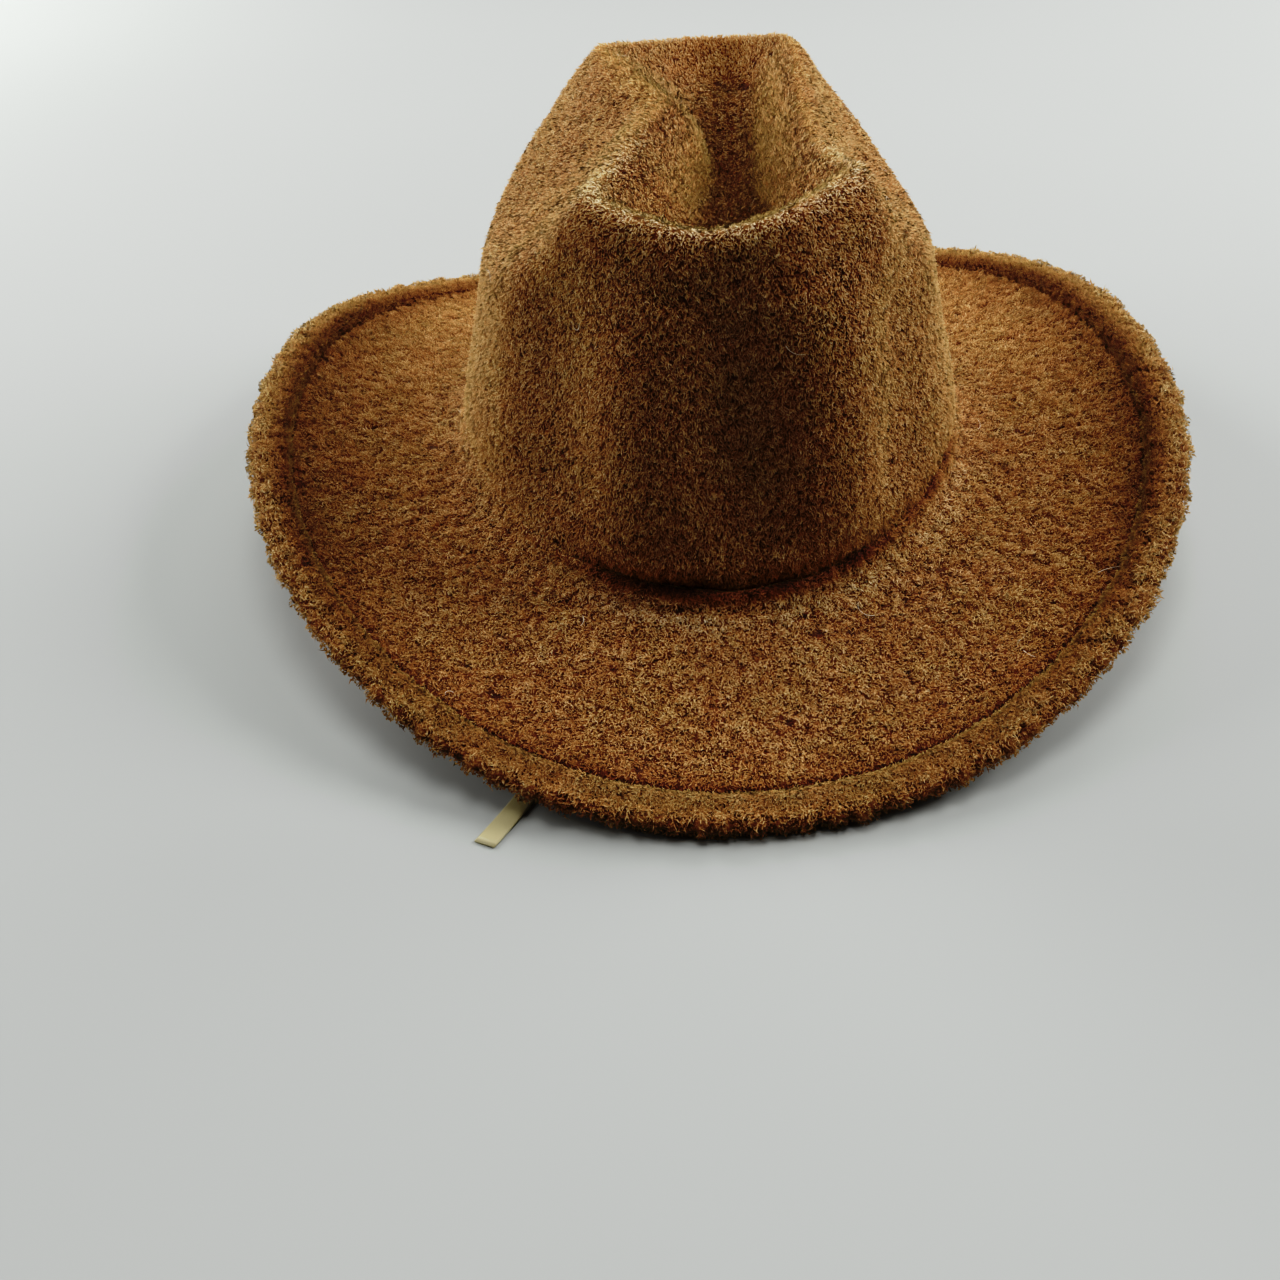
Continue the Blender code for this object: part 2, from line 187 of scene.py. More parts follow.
WELT_LIGHT = 0.85  # of the pile in it, darkened as painted shade
BACK_SEAM_TURN = -6  # degrees, of the short upright seam at the crown's back
BACK_SEAM_WIDTH = 1.0 * MM
BACK_SEAM_DEPTH = 0.9 * MM
BACK_SEAM_HEIGHT = 22 * MM
# Painted shade in the short seam at the back
BACK_SEAM_LIGHT = 0.4

# The brim beside the groove, and its puckers
GROOVE_TUCK = 2.0 * MM  # over which the fleece thins out towards the stitched groove
GROOVE_LIGHT = 0.22  # of the pile in the groove, darkened as painted shade
GROOVE_SHADE, GROOVE_SHADE_RUN = 0.25, 7 * MM  # painted shade on the pile beside the groove, fading out over this run
RIPPLE, RIPPLE_WIDTH, RIPPLE_STRETCH = 0.45 * MM, 3.6 * MM, 1.8  # the brim's plush is faintly puckered
RIPPLE_LIGHT = 0.1  # painted highlight on the puckers' tops and painted shade in their hollows, by this share
CALM_AT_SEAM, CALM_AT_GROOVE = (4 * MM, 12 * MM), (0, 5 * MM)  # where the puckers fade out

# The binding's roll, which the pile makes thicker at the edge than its solid
BINDING_SWELL = (0.3 * MM, 4.0 * MM)  # how high it stands beside the groove
BINDING_SWELL_RISE, BINDING_SWELL_FALL = 5 * MM, (9 * MM, 18 * MM)  # distances from the groove
BINDING_PULL = (3.2 * MM, 5.0 * MM)  # how far the backing lies inside its solid, to leave room for the pile
BINDING_TOP = (4 * MM, 10 * MM)  # distances from the groove over which its short pile turns into long clumps
BINDING_TOP_DEPTH = 0.35  # of the fleece beside the groove, as a share of that on the roll
OVERHANG, OVERHANG_RUN = 2.4, (1 * MM, 4 * MM)  # at the sides the pile beside the groove hangs over it
INNER_SHADE, INNER_SHADE_RUN = 0.45, (4 * MM, 9 * MM)  # painted shade on the roll's side towards the crown, at the sides
UNDER_SHADE, UNDER_SHADE_SLOPE = 0.32, (-0.3, 0.5)  # painted shade where the roll turns under, from its normal's rise
NEAR_SHADE = 0.14  # painted shade at the front and back, where it lies flat
UNDER_DENSITY = 0.4  # of the pile under the roll

# Grids
CROWN_ROWS, CROWN_COLUMNS, CROWN_INSIDE_ROWS = 128, 600, 24
BRIM_ROWS, BRIM_COLUMNS, BRIM_UNDER_ROWS = 72, 800, 28
BINDING_ROWS, BINDING_COLUMNS = 36, 800
BINDING_INNER_SHARE = 0.45  # of the outside, for the backing inside the roll

# Fleece
FLOOR_CLEARANCE = 0.2 * MM
LANE_SHARE = 0.3  # how wide the slope beside a lane between two clumps is, in clump sizes
BASE_SHADE = 0.42  # of the fleece under the locks, at its highest, as painted shade that deepens in the lanes between clumps
INSIDE_SHADE = 0.4  # of the hidden side
SOFT_SHARE = 0.7  # how far a lock takes the light as the whole surface does, and not as a flat strip
LOCK_SHADES = (0.4, 0.7, 0.7, 1.0)  # at its root, its two widest points and its tip: painted shade, darkest at the root
CROWN_FLEECE, BRIM_FLEECE, BINDING_FLEECE = 0.6 * MM, 1.4 * MM, 2.4 * MM
CROWN_CLUMP, BRIM_CLUMP, BINDING_CLUMP = 2.4 * MM, 3.2 * MM, 4.4 * MM
CROWN_LOCKS, BRIM_LOCKS, UNDER_LOCKS, ROLL_LOCKS, TOP_LOCKS = 320000, 250000, 50000, 76000, 50000
LOCKS_A_PIECE = 98000  # two triangles each
CROWN_LOCK = dict(
    long=1.6 * MM, wide=0.42 * MM, lift=46, lift_scatter=14, curl=35, twirl=35, roll=26,
    scatter=24, clump=CROWN_CLUMP, clump_turn=70,
)
BRIM_LOCK = dict(
    long=1.7 * MM, wide=0.42 * MM, lift=48, lift_scatter=16, curl=50, twirl=50, roll=30,
    scatter=30, clump=BRIM_CLUMP, clump_turn=110,
)
BINDING_LOCK = dict(
    long=2.3 * MM, wide=0.52 * MM, lift=50, lift_scatter=20, curl=95, twirl=80, roll=35,
    scatter=45, clump=BINDING_CLUMP, clump_turn=180,
)
BINDING_TOP_LOCK = dict(
    long=1.6 * MM, wide=0.42 * MM, lift=44, lift_scatter=14, curl=45, twirl=40, roll=26,
    scatter=28, clump=BINDING_CLUMP, clump_turn=90,
)
# The corners of a lock's two triangles in its cell of the map
DIAMOND = ((0.5, 0.1), (0.85, 0.5), (0.15, 0.5), (0.15, 0.5), (0.85, 0.5), (0.5, 0.9))
PARTING = 15 * MM  # spacing of the small places where the pile parts
PARTING_LENGTH, PARTING_WIDTH = 2.6 * MM, 1.1 * MM  # half of each
HAIRS, HAIR_STEPS = 30, 7  # half of them on the crown, half on the brim
HAIR_LENGTH, HAIR_WIDTH = 9 * MM, 0.2 * MM

RIBBON_STEPS, RIBBON_SIDES, RIBBON_RIBS = 60, 12, 14

# Camera: the photo's place and angles, from the seam's ellipse and the brim's outline
CAMERA_PITCH, CAMERA_YAW, CAMERA_ROLL = 40.94, 0.11, -3.16  # degrees
CAMERA_PLACE = (-0.0291, -0.4156, 0.2715)
SENSOR_WIDTH = 36.0
FOCAL_LENGTH = 35.32

LIGHTS = (
    # name, turn and height in degrees as seen from the hat, size across, watts, colour
    ("top", 0, 88, 0.7, 7.0, "FFFFFF"),
    ("right", 93, 33, 0.7, 12.5, "FFFFFF"),
    ("far_right", 132, 28, 0.7, 6.5, "FFFFFF"),
    ("far", 165, 50, 0.7, 2.2, "FFFFFF"),
    ("far_left", 225, 22, 0.7, 13.0, "FFFFFF"),
    ("left", 267, 22, 0.7, 6.0, "FFFFFF"),
)
LIGHT_DISTANCE = 1.4  # metres
LIGHT_TARGET = (0, 0, 0.08)
AMBIENT_COLOUR, AMBIENT_STRENGTH = "F4F6F6", 0.01
FLOOR_SIZE = 6.0

# Colours of the polyester plush by the pile's shade, painted shade deep in the pile and painted highlight at
# the brightest tips: backing, lanes between the locks, locks, their tips, tips in a painted highlight
PLUSH_DEPTHS = ((0.0, "2C0F06"), (0.25, "743D1F"), (0.55, "AA7848"), (0.8, "DABC8A"), (1.0, "F6EAD0"))
# The dye's drift over a few centimetres: a redder, a middle and a yellower lot of the same brown
PLUSH_HUES = ((0.0, "FAE8DC"), (0.5, "FFF8EE"), (1.0, "FAF8E6"))
# The binding is cut from a slightly more olive lot
BINDING_HUES = ((0.0, "F2EAE0"), (0.5, "F8FCF6"), (1.0, "F0FCF0"))

PLUSH_SHEEN = "F2CE84"  # golden, from light that runs along the fibres
FIBRE_BUNDLE = 0.5 * MM  # coarser than the real 0.1 mm, so that it shows in the render
FIBRE_RELIEF = 0.4 * MM
HAIR_COLOUR = "E4D9C2"  # pale, undyed fibre
SATIN_COLOURS = ((0.0, "A89E73"), (0.5, "C2B78C"), (1.0, "D6CCA0"))  # grooves, sides and tops of ribs, with painted shade in the grooves and painted highlight on the tops
PAPER_COLOURS = ((0.3, "AFB2AF"), (0.7, "B4B7B4"))  # matt grey-white, faintly mottled

CONTRAST = (
    # brightness on the screen without and with the camera's own contrast, from 0 to 255
    (0, 0),
    (16, 6),
    (26, 12),
    (44, 22),
    (60, 42),
    (80, 70),
    (100, 98),
    (130, 136),
    (150, 160),
    (175, 189),
    (200, 208),
    (225, 224),
    (255, 248),
)


# Numbers and noise


def side_share(turn):
    """The squared sine of the turn, which goes from 0 at the front and back to 1 at the sides."""
    return np.sin(turn) ** 2


def blend(pair, turn):
    """A size that goes from its first value at the front and back to its second at the sides."""
    return pair[0] + (pair[1] - pair[0]) * side_share(turn)


def ease(value, low, high):
    """From 0 at low to 1 at high, by the cubic 3t^2 - 2t^3, which starts and ends level."""
    t = np.clip((value - low) / (high - low), 0, 1)
    return t * t * (3 - 2 * t)


def bell(offset, width):
    """A bell curve of this width, 1 where the offset is 0."""
    return np.exp(-((offset / width) ** 2))


def power(value, exponent):
    """A signed power, which makes a squarer round from a sine and a cosine."""
    return np.sign(value) * np.abs(value) ** exponent


def length(vectors):
    """The length of every vector, with its last axis kept."""
    return np.linalg.norm(vectors, axis=-1, keepdims=True)


def unit(vectors):
    """The same directions at a length of 1."""
    return vectors / np.maximum(length(vectors), 1e-12)


def hashed(cells, salt):
    """Numbers from 0 to 1 that look random and are always the same for a whole-number cell and a salt."""
    mixed = cells.astype(np.int64) * (73856093, 19349663, 83492791)
    n = (mixed[..., 0] ^ mixed[..., 1] ^ mixed[..., 2] ^ (salt * 2654435761)) & 0xFFFFFFFF
    for shift, factor in ((16, 0x45D9F3B), (15, 0x2C1B3C6D), (16, 1)):
        n = ((n ^ (n >> shift)) * factor) & 0xFFFFFFFF
    return n / 0xFFFFFFFF


def soft_noise(points, size, salt):
    """Smooth noise from 0 to 1, hashed at the corners of cubes of this size and eased between them."""
    scaled = points / size
    low = np.floor(scaled)
    part = scaled - low
    part = part * part * (3 - 2 * part)
    total = 0
    for corner in np.ndindex(2, 2, 2):
        weight = np.prod(np.where(corner, part, 1 - part), axis=-1)
        total = total + weight * hashed(low + corner, salt)
    return total


def nearest_clump(points, size, salt):
    """For each point, its way to the nearest clump's middle and the second's, in sizes, and the clump's cell.

    Each cube of space of this size holds one clump's middle, anywhere inside it.
    """
    scaled = points / size
    home = np.floor(scaled)
    first = np.full(points.shape[:-1], np.inf)
    second = first.copy()
    cell = home.copy()
    for step in np.ndindex(3, 3, 3):
        near = home + step - 1
        middle = near + np.stack([hashed(near, salt + k) for k in range(3)], axis=-1)
        away = np.linalg.norm(scaled - middle, axis=-1)
        closer = away < first
        second = np.where(closer, first, np.minimum(second, away))
        first = np.where(closer, away, first)
        cell = np.where(closer[..., None], near, cell)
    return first, second, cell


# Surfaces, as grids of points: rows along a section and columns round the hat


def smooth_through(at, knots, values):
    """A cubic curve through the values at the knots, whose slope at a knot is that between its neighbours."""
    slope = np.gradient(values, knots, axis=0)
    i = np.clip(np.searchsorted(knots, at, side="right") - 1, 0, len(knots) - 2)
    width = (knots[i + 1] - knots[i])[:, None]
    t = (at - knots[i])[:, None] / width
    rise = t * t * (3 - 2 * t)
    bends = slope[i] * t * (1 - t) ** 2 - slope[i + 1] * t * t * (1 - t)
    return values[i] * (1 - rise) + values[i + 1] * rise + bends * width


def turns(columns):
    """The angle of every section round the hat, from the back centre over the right side."""
    return np.linspace(0, 2 * np.pi, columns, endpoint=False)


def seam_height(turn):
    """The height of the seam round the crown, which rises with the squared sine of the turn."""
    return SEAM_HEIGHT + SEAM_SIDE_RISE * side_share(turn)


def crown_base(turn):
    """The outside of the crown at the seam, in plan: an ellipse."""
    return np.stack([CROWN_HALF_WIDTH * np.sin(turn), -CROWN_HALF_LENGTH * np.cos(turn)], axis=-1)


def bend(start, corner, end, shares):
    """Points at these shares of the quadratic curve from start to end that the corner pulls at."""
    return [(1 - t) ** 2 * start + 2 * t * (1 - t) * corner + t * t * end for t in shares]


def rounded_bend(before, corner, after, run, shares):
    """Points of the curve that rounds a corner, from a length of run before it to the same run after it."""
    start = corner + (before - corner) * np.minimum(run / length(before - corner), LONGEST_ROUNDING)
    end = corner + (after - corner) * np.minimum(run / length(after - corner), LONGEST_ROUNDING)
    return bend(start, corner, end, shares)


def crown_corners(turn):
    """The bends of every crown section, from its foot to the crease, as a dict of arrays.

    The table's columns are read at the turn by a cubic curve, and the bends between them are means of theirs.
    """
    rows = np.array(CROWN_SECTIONS, float)
    round_again = [360] + [0] * (rows.shape[1] - 1)
    rows = np.concatenate([rows[-3:] - round_again, rows, rows[:3] + round_again])
    read = smooth_through(np.degrees(turn), rows[:, 0], rows[:, 1:]) * MM
    bow, shoulder, dent = read[:, 0:1], read[:, 1:4], read[:, 4:5]
    crest, drop = read[:, 5:8], read[:, 8:9] / MM
    crease_rows = np.array(CREASE, float)
    crease = smooth_through((1 - np.cos(turn)) / 2, crease_rows[:, 0], crease_rows[:, 1:]) * MM
    for place in (shoulder, crest, crease):
        place[:, 2] += SEAM_HEIGHT
    crest[:, 2] += CREST_LIFT - BACK_CREST_DROP * ease(np.cos(turn), *BACK_HALF)
    plan = crown_base(turn)
    seam = seam_height(turn)
    outward = np.stack([np.sin(turn), -np.cos(turn), 0 * turn], axis=-1)
    inward_and_down = -(outward + [0, 0, 1]) / np.sqrt(2)
    upright = np.column_stack([plan, seam + UPRIGHT_WALL]) + outward * bow * LOW_BOW
    share = np.column_stack([SLOPE_SHARE + 0 * drop, SLOPE_SHARE + 0 * drop, drop])
    slope = crest + (crease - crest) * share
    return {
        "foot": np.column_stack([plan, seam - CROWN_FOOT]),
        "seam": np.column_stack([plan, seam]),
        "upright": upright,
        "bow": (upright + shoulder) / 2 + outward * bow * (1 - LOW_BOW / 2),
        "shoulder": shoulder,
        "dent": (shoulder + crest) / 2 + inward_and_down * dent,
        "crest": crest,
        "slope": slope,
        "floor": crease + (crest - crease) * CREASE_FLOOR,
        "crease": crease,
    }


def evenly(sections, rows):
    """The same sections with this many rows, spaced evenly along each, read between its points."""
    gone = np.cumsum(length(np.diff(sections, axis=0))[..., 0], axis=0)
    steps = np.concatenate([0 * gone[:1], gone])
    steps /= steps[-1]
    wanted = np.linspace(0, 1, rows)
    columns = np.arange(sections.shape[1])
    lifted = steps + 2 * columns  # one rising list holds every column's steps
    at = (wanted[:, None] + 2 * columns).ravel()
    flat = sections.transpose(1, 0, 2).reshape(-1, 3)
    knots = lifted.T.ravel()
    read = np.stack([np.interp(at, knots, flat[:, k]) for k in range(3)], axis=-1)
    return read.reshape(rows, sections.shape[1], 3)


def crown_surface(rows, columns):
    """The crown's outer surface, from its foot over the crest to the bottom of the crease.

    Each section is a row of rounded bends, and its last one runs half-way towards the section opposite.
    """
    corners = crown_corners(turns(columns))
    bends = list(corners.values())
    points = bends[:2]
    for before, (name, corner), after in zip(bends[1:], list(corners.items())[2:], bends[3:]):
        points += rounded_bend(before, corner, after, ROUNDING[name], np.linspace(0, 1, 9))
    across = np.roll(corners["floor"][::-1], 1, axis=0)
    halfway = np.linspace(0, 0.5, 9)
    points += rounded_bend(corners["floor"], corners["crease"], across, ROUNDING["crease"], halfway)
    return evenly(np.stack(points), rows)


def brim_run(turn):
    """How far the brim reaches from the crown to the middle of its rolled edge, and in which direction."""
    sine, cosine = np.sin(turn), np.cos(turn)
    edge_x = BRIM_HALF_WIDTH * power(sine, BRIM_SQUARENESS)
    edge_y = -BRIM_HALF_LENGTH * power(cosine, BRIM_SQUARENESS)
    out = np.stack([edge_x, edge_y], axis=-1) - crown_base(turn)
    run = length(out)
    return run[:, 0], out / run


def front_drop(turn):
    """How much lower the brim's edge lies beside its front: the squared sine times the cubed cosine there."""
    right, left = FRONT_DROP
    share = side_share(turn) * np.maximum(-np.cos(turn), 0) ** 3 / FRONT_DROP_PEAK
    return np.where(np.sin(turn) > 0, right, left) * share


def brim_points(turn, run, height):
    """Points of the brim's sections: run out from the crown, and height off the brim's middle surface.

    The middle surface is a cubic between the slopes at the crown and at the edge, and straight past the edge.
    """
    reach, out = brim_run(turn)
    inner = seam_height(turn) - blend(COLLAR_HEIGHT, turn) - BRIM_THICKNESS / 2
    outer = blend(EDGE_HEIGHT, turn) - front_drop(turn)
    slope_in, slope_out = blend(SLOPE_AT_CROWN, turn), blend(SLOPE_AT_EDGE, turn)
    t = np.minimum(run / reach, 1)
    rise = t * t * (3 - 2 * t)
    bends = slope_in * t * (1 - t) ** 2 - slope_out * t * t * (1 - t)
    z = inner * (1 - rise) + outer * rise + reach * bends
    rise_slope = 6 * t * (1 - t) * (outer - inner) / reach
    slope = rise_slope + slope_in * (1 - t) * (1 - 3 * t) + slope_out * t * (3 * t - 2)
    past_edge = np.maximum(run - reach, 0)
    flat = 1 / np.sqrt(1 + slope**2)
    along = np.minimum(run, reach) + (past_edge - height * slope) * flat
    up = z + (past_edge * slope + height) * flat
    plan = crown_base(turn)[None] + out[None] * along[..., None]
    return np.concatenate([plan, up[..., None]], axis=-1)


def roll_radius():
    """Half the thickness of the bound edge."""
    return CORE_THICKNESS / 2 + GAP + BINDING_THICKNESS


def groove_run(turn):
    """How far from the crown the stitched groove lies, with the binding's width measured along the slope."""
    reach = brim_run(turn)[0]
    return reach - (BINDING_WIDTH - roll_radius()) / np.sqrt(1 + blend(SLOPE_AT_EDGE, turn) ** 2)


def half_round(reach, radius, points):
    """Run and height of points on a half circle round the edge, from its top to its underside."""
    angle = np.linspace(np.pi / 2, -np.pi / 2, points)[:, None]
    return list(zip(reach + radius * np.cos(angle), radius * np.sin(angle) + 0 * reach))


def along_brim(turn, section):
    """The points of a section that is a list of pairs of run and height."""
    run, height = (np.stack([side + 0 * turn for side in sides]) for sides in zip(*section))
    return brim_points(turn, run, height)


def beside_crown(turn, distance, z):
    """Points at this distance out from the crown and at height z."""
    return np.column_stack([crown_base(turn) + brim_run(turn)[1] * distance, z])


def brim_top(rows, columns):
    """The brim's upper surface, from its turned-up inner edge to the step under the binding."""
    turn = turns(columns)
    end = groove_run(turn) - GROOVE
    thick = BRIM_THICKNESS / 2
    fillet = blend(FILLET_RUN, turn)
    seam = seam_height(turn)
    underside = seam - blend(COLLAR_HEIGHT, turn) - BRIM_THICKNESS
    collar_side = beside_crown(turn, GAP + COLLAR_THICKNESS, seam - COLLAR_DROP)
    collar_foot = beside_crown(turn, GAP + COLLAR_THICKNESS + COLLAR_LEAN, underside + BRIM_THICKNESS)
    fillet_end = along_brim(turn, [(fillet, thick)])[0]
    turned_up = bend(collar_side, collar_foot, fillet_end, np.linspace(0, 1, 16))
    open_brim = [(fillet + (end - STEP_RUN - fillet) * t, thick) for t in np.linspace(0, 1, 30)[1:]]
    outer = along_brim(turn, open_brim + [(end, CORE_THICKNESS / 2), (end + TONGUE, CORE_THICKNESS / 2)])
    collar_top = beside_crown(turn, GAP, seam)
    return evenly(np.concatenate([[collar_top], turned_up, outer]), rows)


def brim_underside(rows, columns):
    """The brim's lower surface, from under the binding in to the crown, and up inside the collar."""
    turn = turns(columns)
    end = groove_run(turn) - GROOVE
    runs = end - STEP_RUN
    tongue = [(end + TONGUE, -CORE_THICKNESS / 2), (end, -CORE_THICKNESS / 2)]
    open_brim = [(runs * t, -BRIM_THICKNESS / 2) for t in np.linspace(1, 0.06, 24)]
    under = along_brim(turn, tongue + open_brim)
    seam = seam_height(turn)
    foot = beside_crown(turn, GAP, seam - blend(COLLAR_HEIGHT, turn) - BRIM_THICKNESS)
    return evenly(np.concatenate([under, [foot]]), rows)


def binding_surface(rows, columns):
    """The binding's outside, from the stitched groove over the rolled edge to the groove below."""
    turn = turns(columns)
    reach = brim_run(turn)[0]
    start = groove_run(turn)
    inside, outside = CORE_THICKNESS / 2 + GAP, roll_radius()
    lip = start + BINDING_LIP
    side = [(start, inside), (start + LIP_BULGE * BINDING_LIP, (inside + outside) / 2), (lip, outside)]
    section = side + half_round(reach, outside, 17) + [(run, -height) for run, height in side[::-1]]
    return evenly(along_brim(turn, section), rows)


def sheet_normals(points):
    """The unit normals of a grid whose columns go round and meet: the mean of the faces about each point."""
    after = np.roll(points, -1, axis=1)
    faces = np.cross(after[1:] - points[:-1], points[1:] - after[:-1])
    faces = faces + np.roll(faces, 1, axis=1)
    normals = np.zeros_like(points)
    normals[:-1] += faces
    normals[1:] += faces
    return unit(normals)


def grid_faces(rows, columns):
    """The quads of a grid whose columns meet, row by row."""
    row, column = np.meshgrid(np.arange(rows - 1), np.arange(columns), indexing="ij")
    after = (column + 1) % columns
    low, high = row * columns, (row + 1) * columns
    return np.stack([low + column, low + after, high + after, high + column], axis=-1).reshape(-1, 4)


# Meshes


def add_mesh(name, points, corners, sizes, surface, shade=None, tint=None, normals=None):
    """A smooth-shaded object from its points, the point of every face corner, and each face's corner count.

    shade goes from 0, deep between the locks, to 1, at a tip in the light. tint is the lot's own hue.
    normals, one for each point, let the locks take the light as the soft surface that they make up.
    """
    mesh = bpy.data.meshes.new(name)
    mesh.vertices.add(len(points))
    mesh.vertices.foreach_set("co", np.asarray(points, np.float32).ravel())
    mesh.loops.add(len(corners))
    mesh.loops.foreach_set("vertex_index", np.asarray(corners, np.int32))
    mesh.polygons.add(len(sizes))
    mesh.polygons.foreach_set("loop_start", np.concatenate([[0], np.cumsum(sizes)[:-1]]).astype(np.int32))
    mesh.polygons.foreach_set("use_smooth", np.ones(len(sizes), bool))
    for label, values in (("shade", shade), ("tint", tint)):
        if values is not None:
            mesh.attributes.new(label, "FLOAT", "POINT").data.foreach_set("value", values.astype(np.float32))
    mesh.update(calc_edges=True)
    mesh.validate()
    if normals is not None:
        mesh.normals_split_custom_set_from_vertices(normals.astype(np.float32))
    mesh.materials.append(surface)
    made = bpy.data.objects.new(name, mesh)
    bpy.context.scene.collection.objects.link(made)
    return made


def set_bake_map(piece, uv):
    """The piece's own map, for a maker who paints it: uv has one row for each face corner."""
    layer = piece.data.uv_layers.new(name="OFBake")
    layer.uv.foreach_set("vector", uv.astype(np.float32).ravel())


def above_floor(points):
    """Points lifted where they would reach below what the hat rests on."""
    points[..., 2] = np.maximum(points[..., 2], FLOOR_CLEARANCE)
    return points


def fleece_relief(points, clump, salt):
    """How far the fleece swells at each point, from 0 to 1: domes over clumps, narrow lanes between them."""
    near, second, cell = nearest_clump(points, clump, salt)
    dome = np.clip(1 - near**2, 0, 1)
    lane = np.clip((second - near) / LANE_SHARE, 0, 1)
    own_height = 0.45 + 0.55 * hashed(cell, salt + 7)
    fine = soft_noise(points, clump / 3, salt + 11)
    return np.clip(dome * (0.35 + 0.65 * lane) * own_height + 0.35 * (fine - 0.5), 0, 1)


def ring_piece(name, outer, inner, depth, clump, surface, salt, light, ends_meet):
    """A closed piece: fleece outside, a plain sheet inside, both grids with the same columns.

    The fleece is the outer grid moved along its normals by its depth times its relief, and light goes from 0,
    in a seam, to 1. Where ends_meet, the last row of each grid is closed along a line by pairing the points
    opposite each other, and otherwise the two grids are joined at both ends.
    """
    columns = outer.shape[1]
    normals = sheet_normals(outer)
    if ends_meet:
        mirrored = np.roll(normals[-1, ::-1], 1, axis=0)
        normals[-1] = unit(normals[-1] + mirrored)
    relief = fleece_relief(outer, clump, salt)
    swollen = outer + normals * (depth * relief)[..., None]
    points = above_floor(np.concatenate([inner[::-1], swollen]))
    rows = len(points)
    faces = grid_faces(rows, columns)
    column = np.arange(columns)
    if ends_meet:
        partner = np.where(column > columns // 2, columns - column, column)
        same = np.arange(rows * columns)
        for row in (0, rows - 1):
            same[row * columns + column] = row * columns + partner
        faces = same[faces]
    else:
        after = (column + 1) % columns
        last = (rows - 1) * columns
        closing = np.stack([last + column, last + after, after, column], axis=-1)
        faces = np.concatenate([faces, closing])
    parted = 1 - 0.8 * partings(outer, salt + 19)
    # Painted shade: the fleece is darker low in the lanes between clumps, and the light grid darkens it
    # further.
    top_shade = BASE_SHADE * (0.25 + 0.75 * relief) * light * parted
    shade = np.concatenate([np.full(inner.shape[:2], INSIDE_SHADE), top_shade]).ravel()
    tint = soft_noise(points, 9 * MM, salt + 3).ravel()
    made = add_mesh(name, points.reshape(-1, 3), faces.ravel(), np.full(len(faces), 4), surface, shade, tint)
    row, column = np.divmod(faces, columns)
    across = np.where(column - column[:, :1] < -1, column + columns, column)
    set_bake_map(made, np.stack([across.ravel() / columns, row.ravel() / rows], axis=-1))
    return made


def partings(points, salt):
    """1 in the small places where the pile parts and shows its dark backing, and 0 elsewhere.

    Each cube of space of the spacing holds one such place, an ellipse with a wavy edge, wider than high.
    """
    scaled = points * (1, 1, PARTING_LENGTH / PARTING_WIDTH)
    near, _, cell = nearest_clump(scaled, PARTING, salt)
    reach = near * PARTING / (PARTING_LENGTH * (0.4 + 0.6 * hashed(cell, salt + 4)))
    wobble = soft_noise(points, 1.2 * MM, salt + 6)
    return np.clip((1.15 - reach + 0.9 * (wobble - 0.5)) / 0.4, 0, 1)


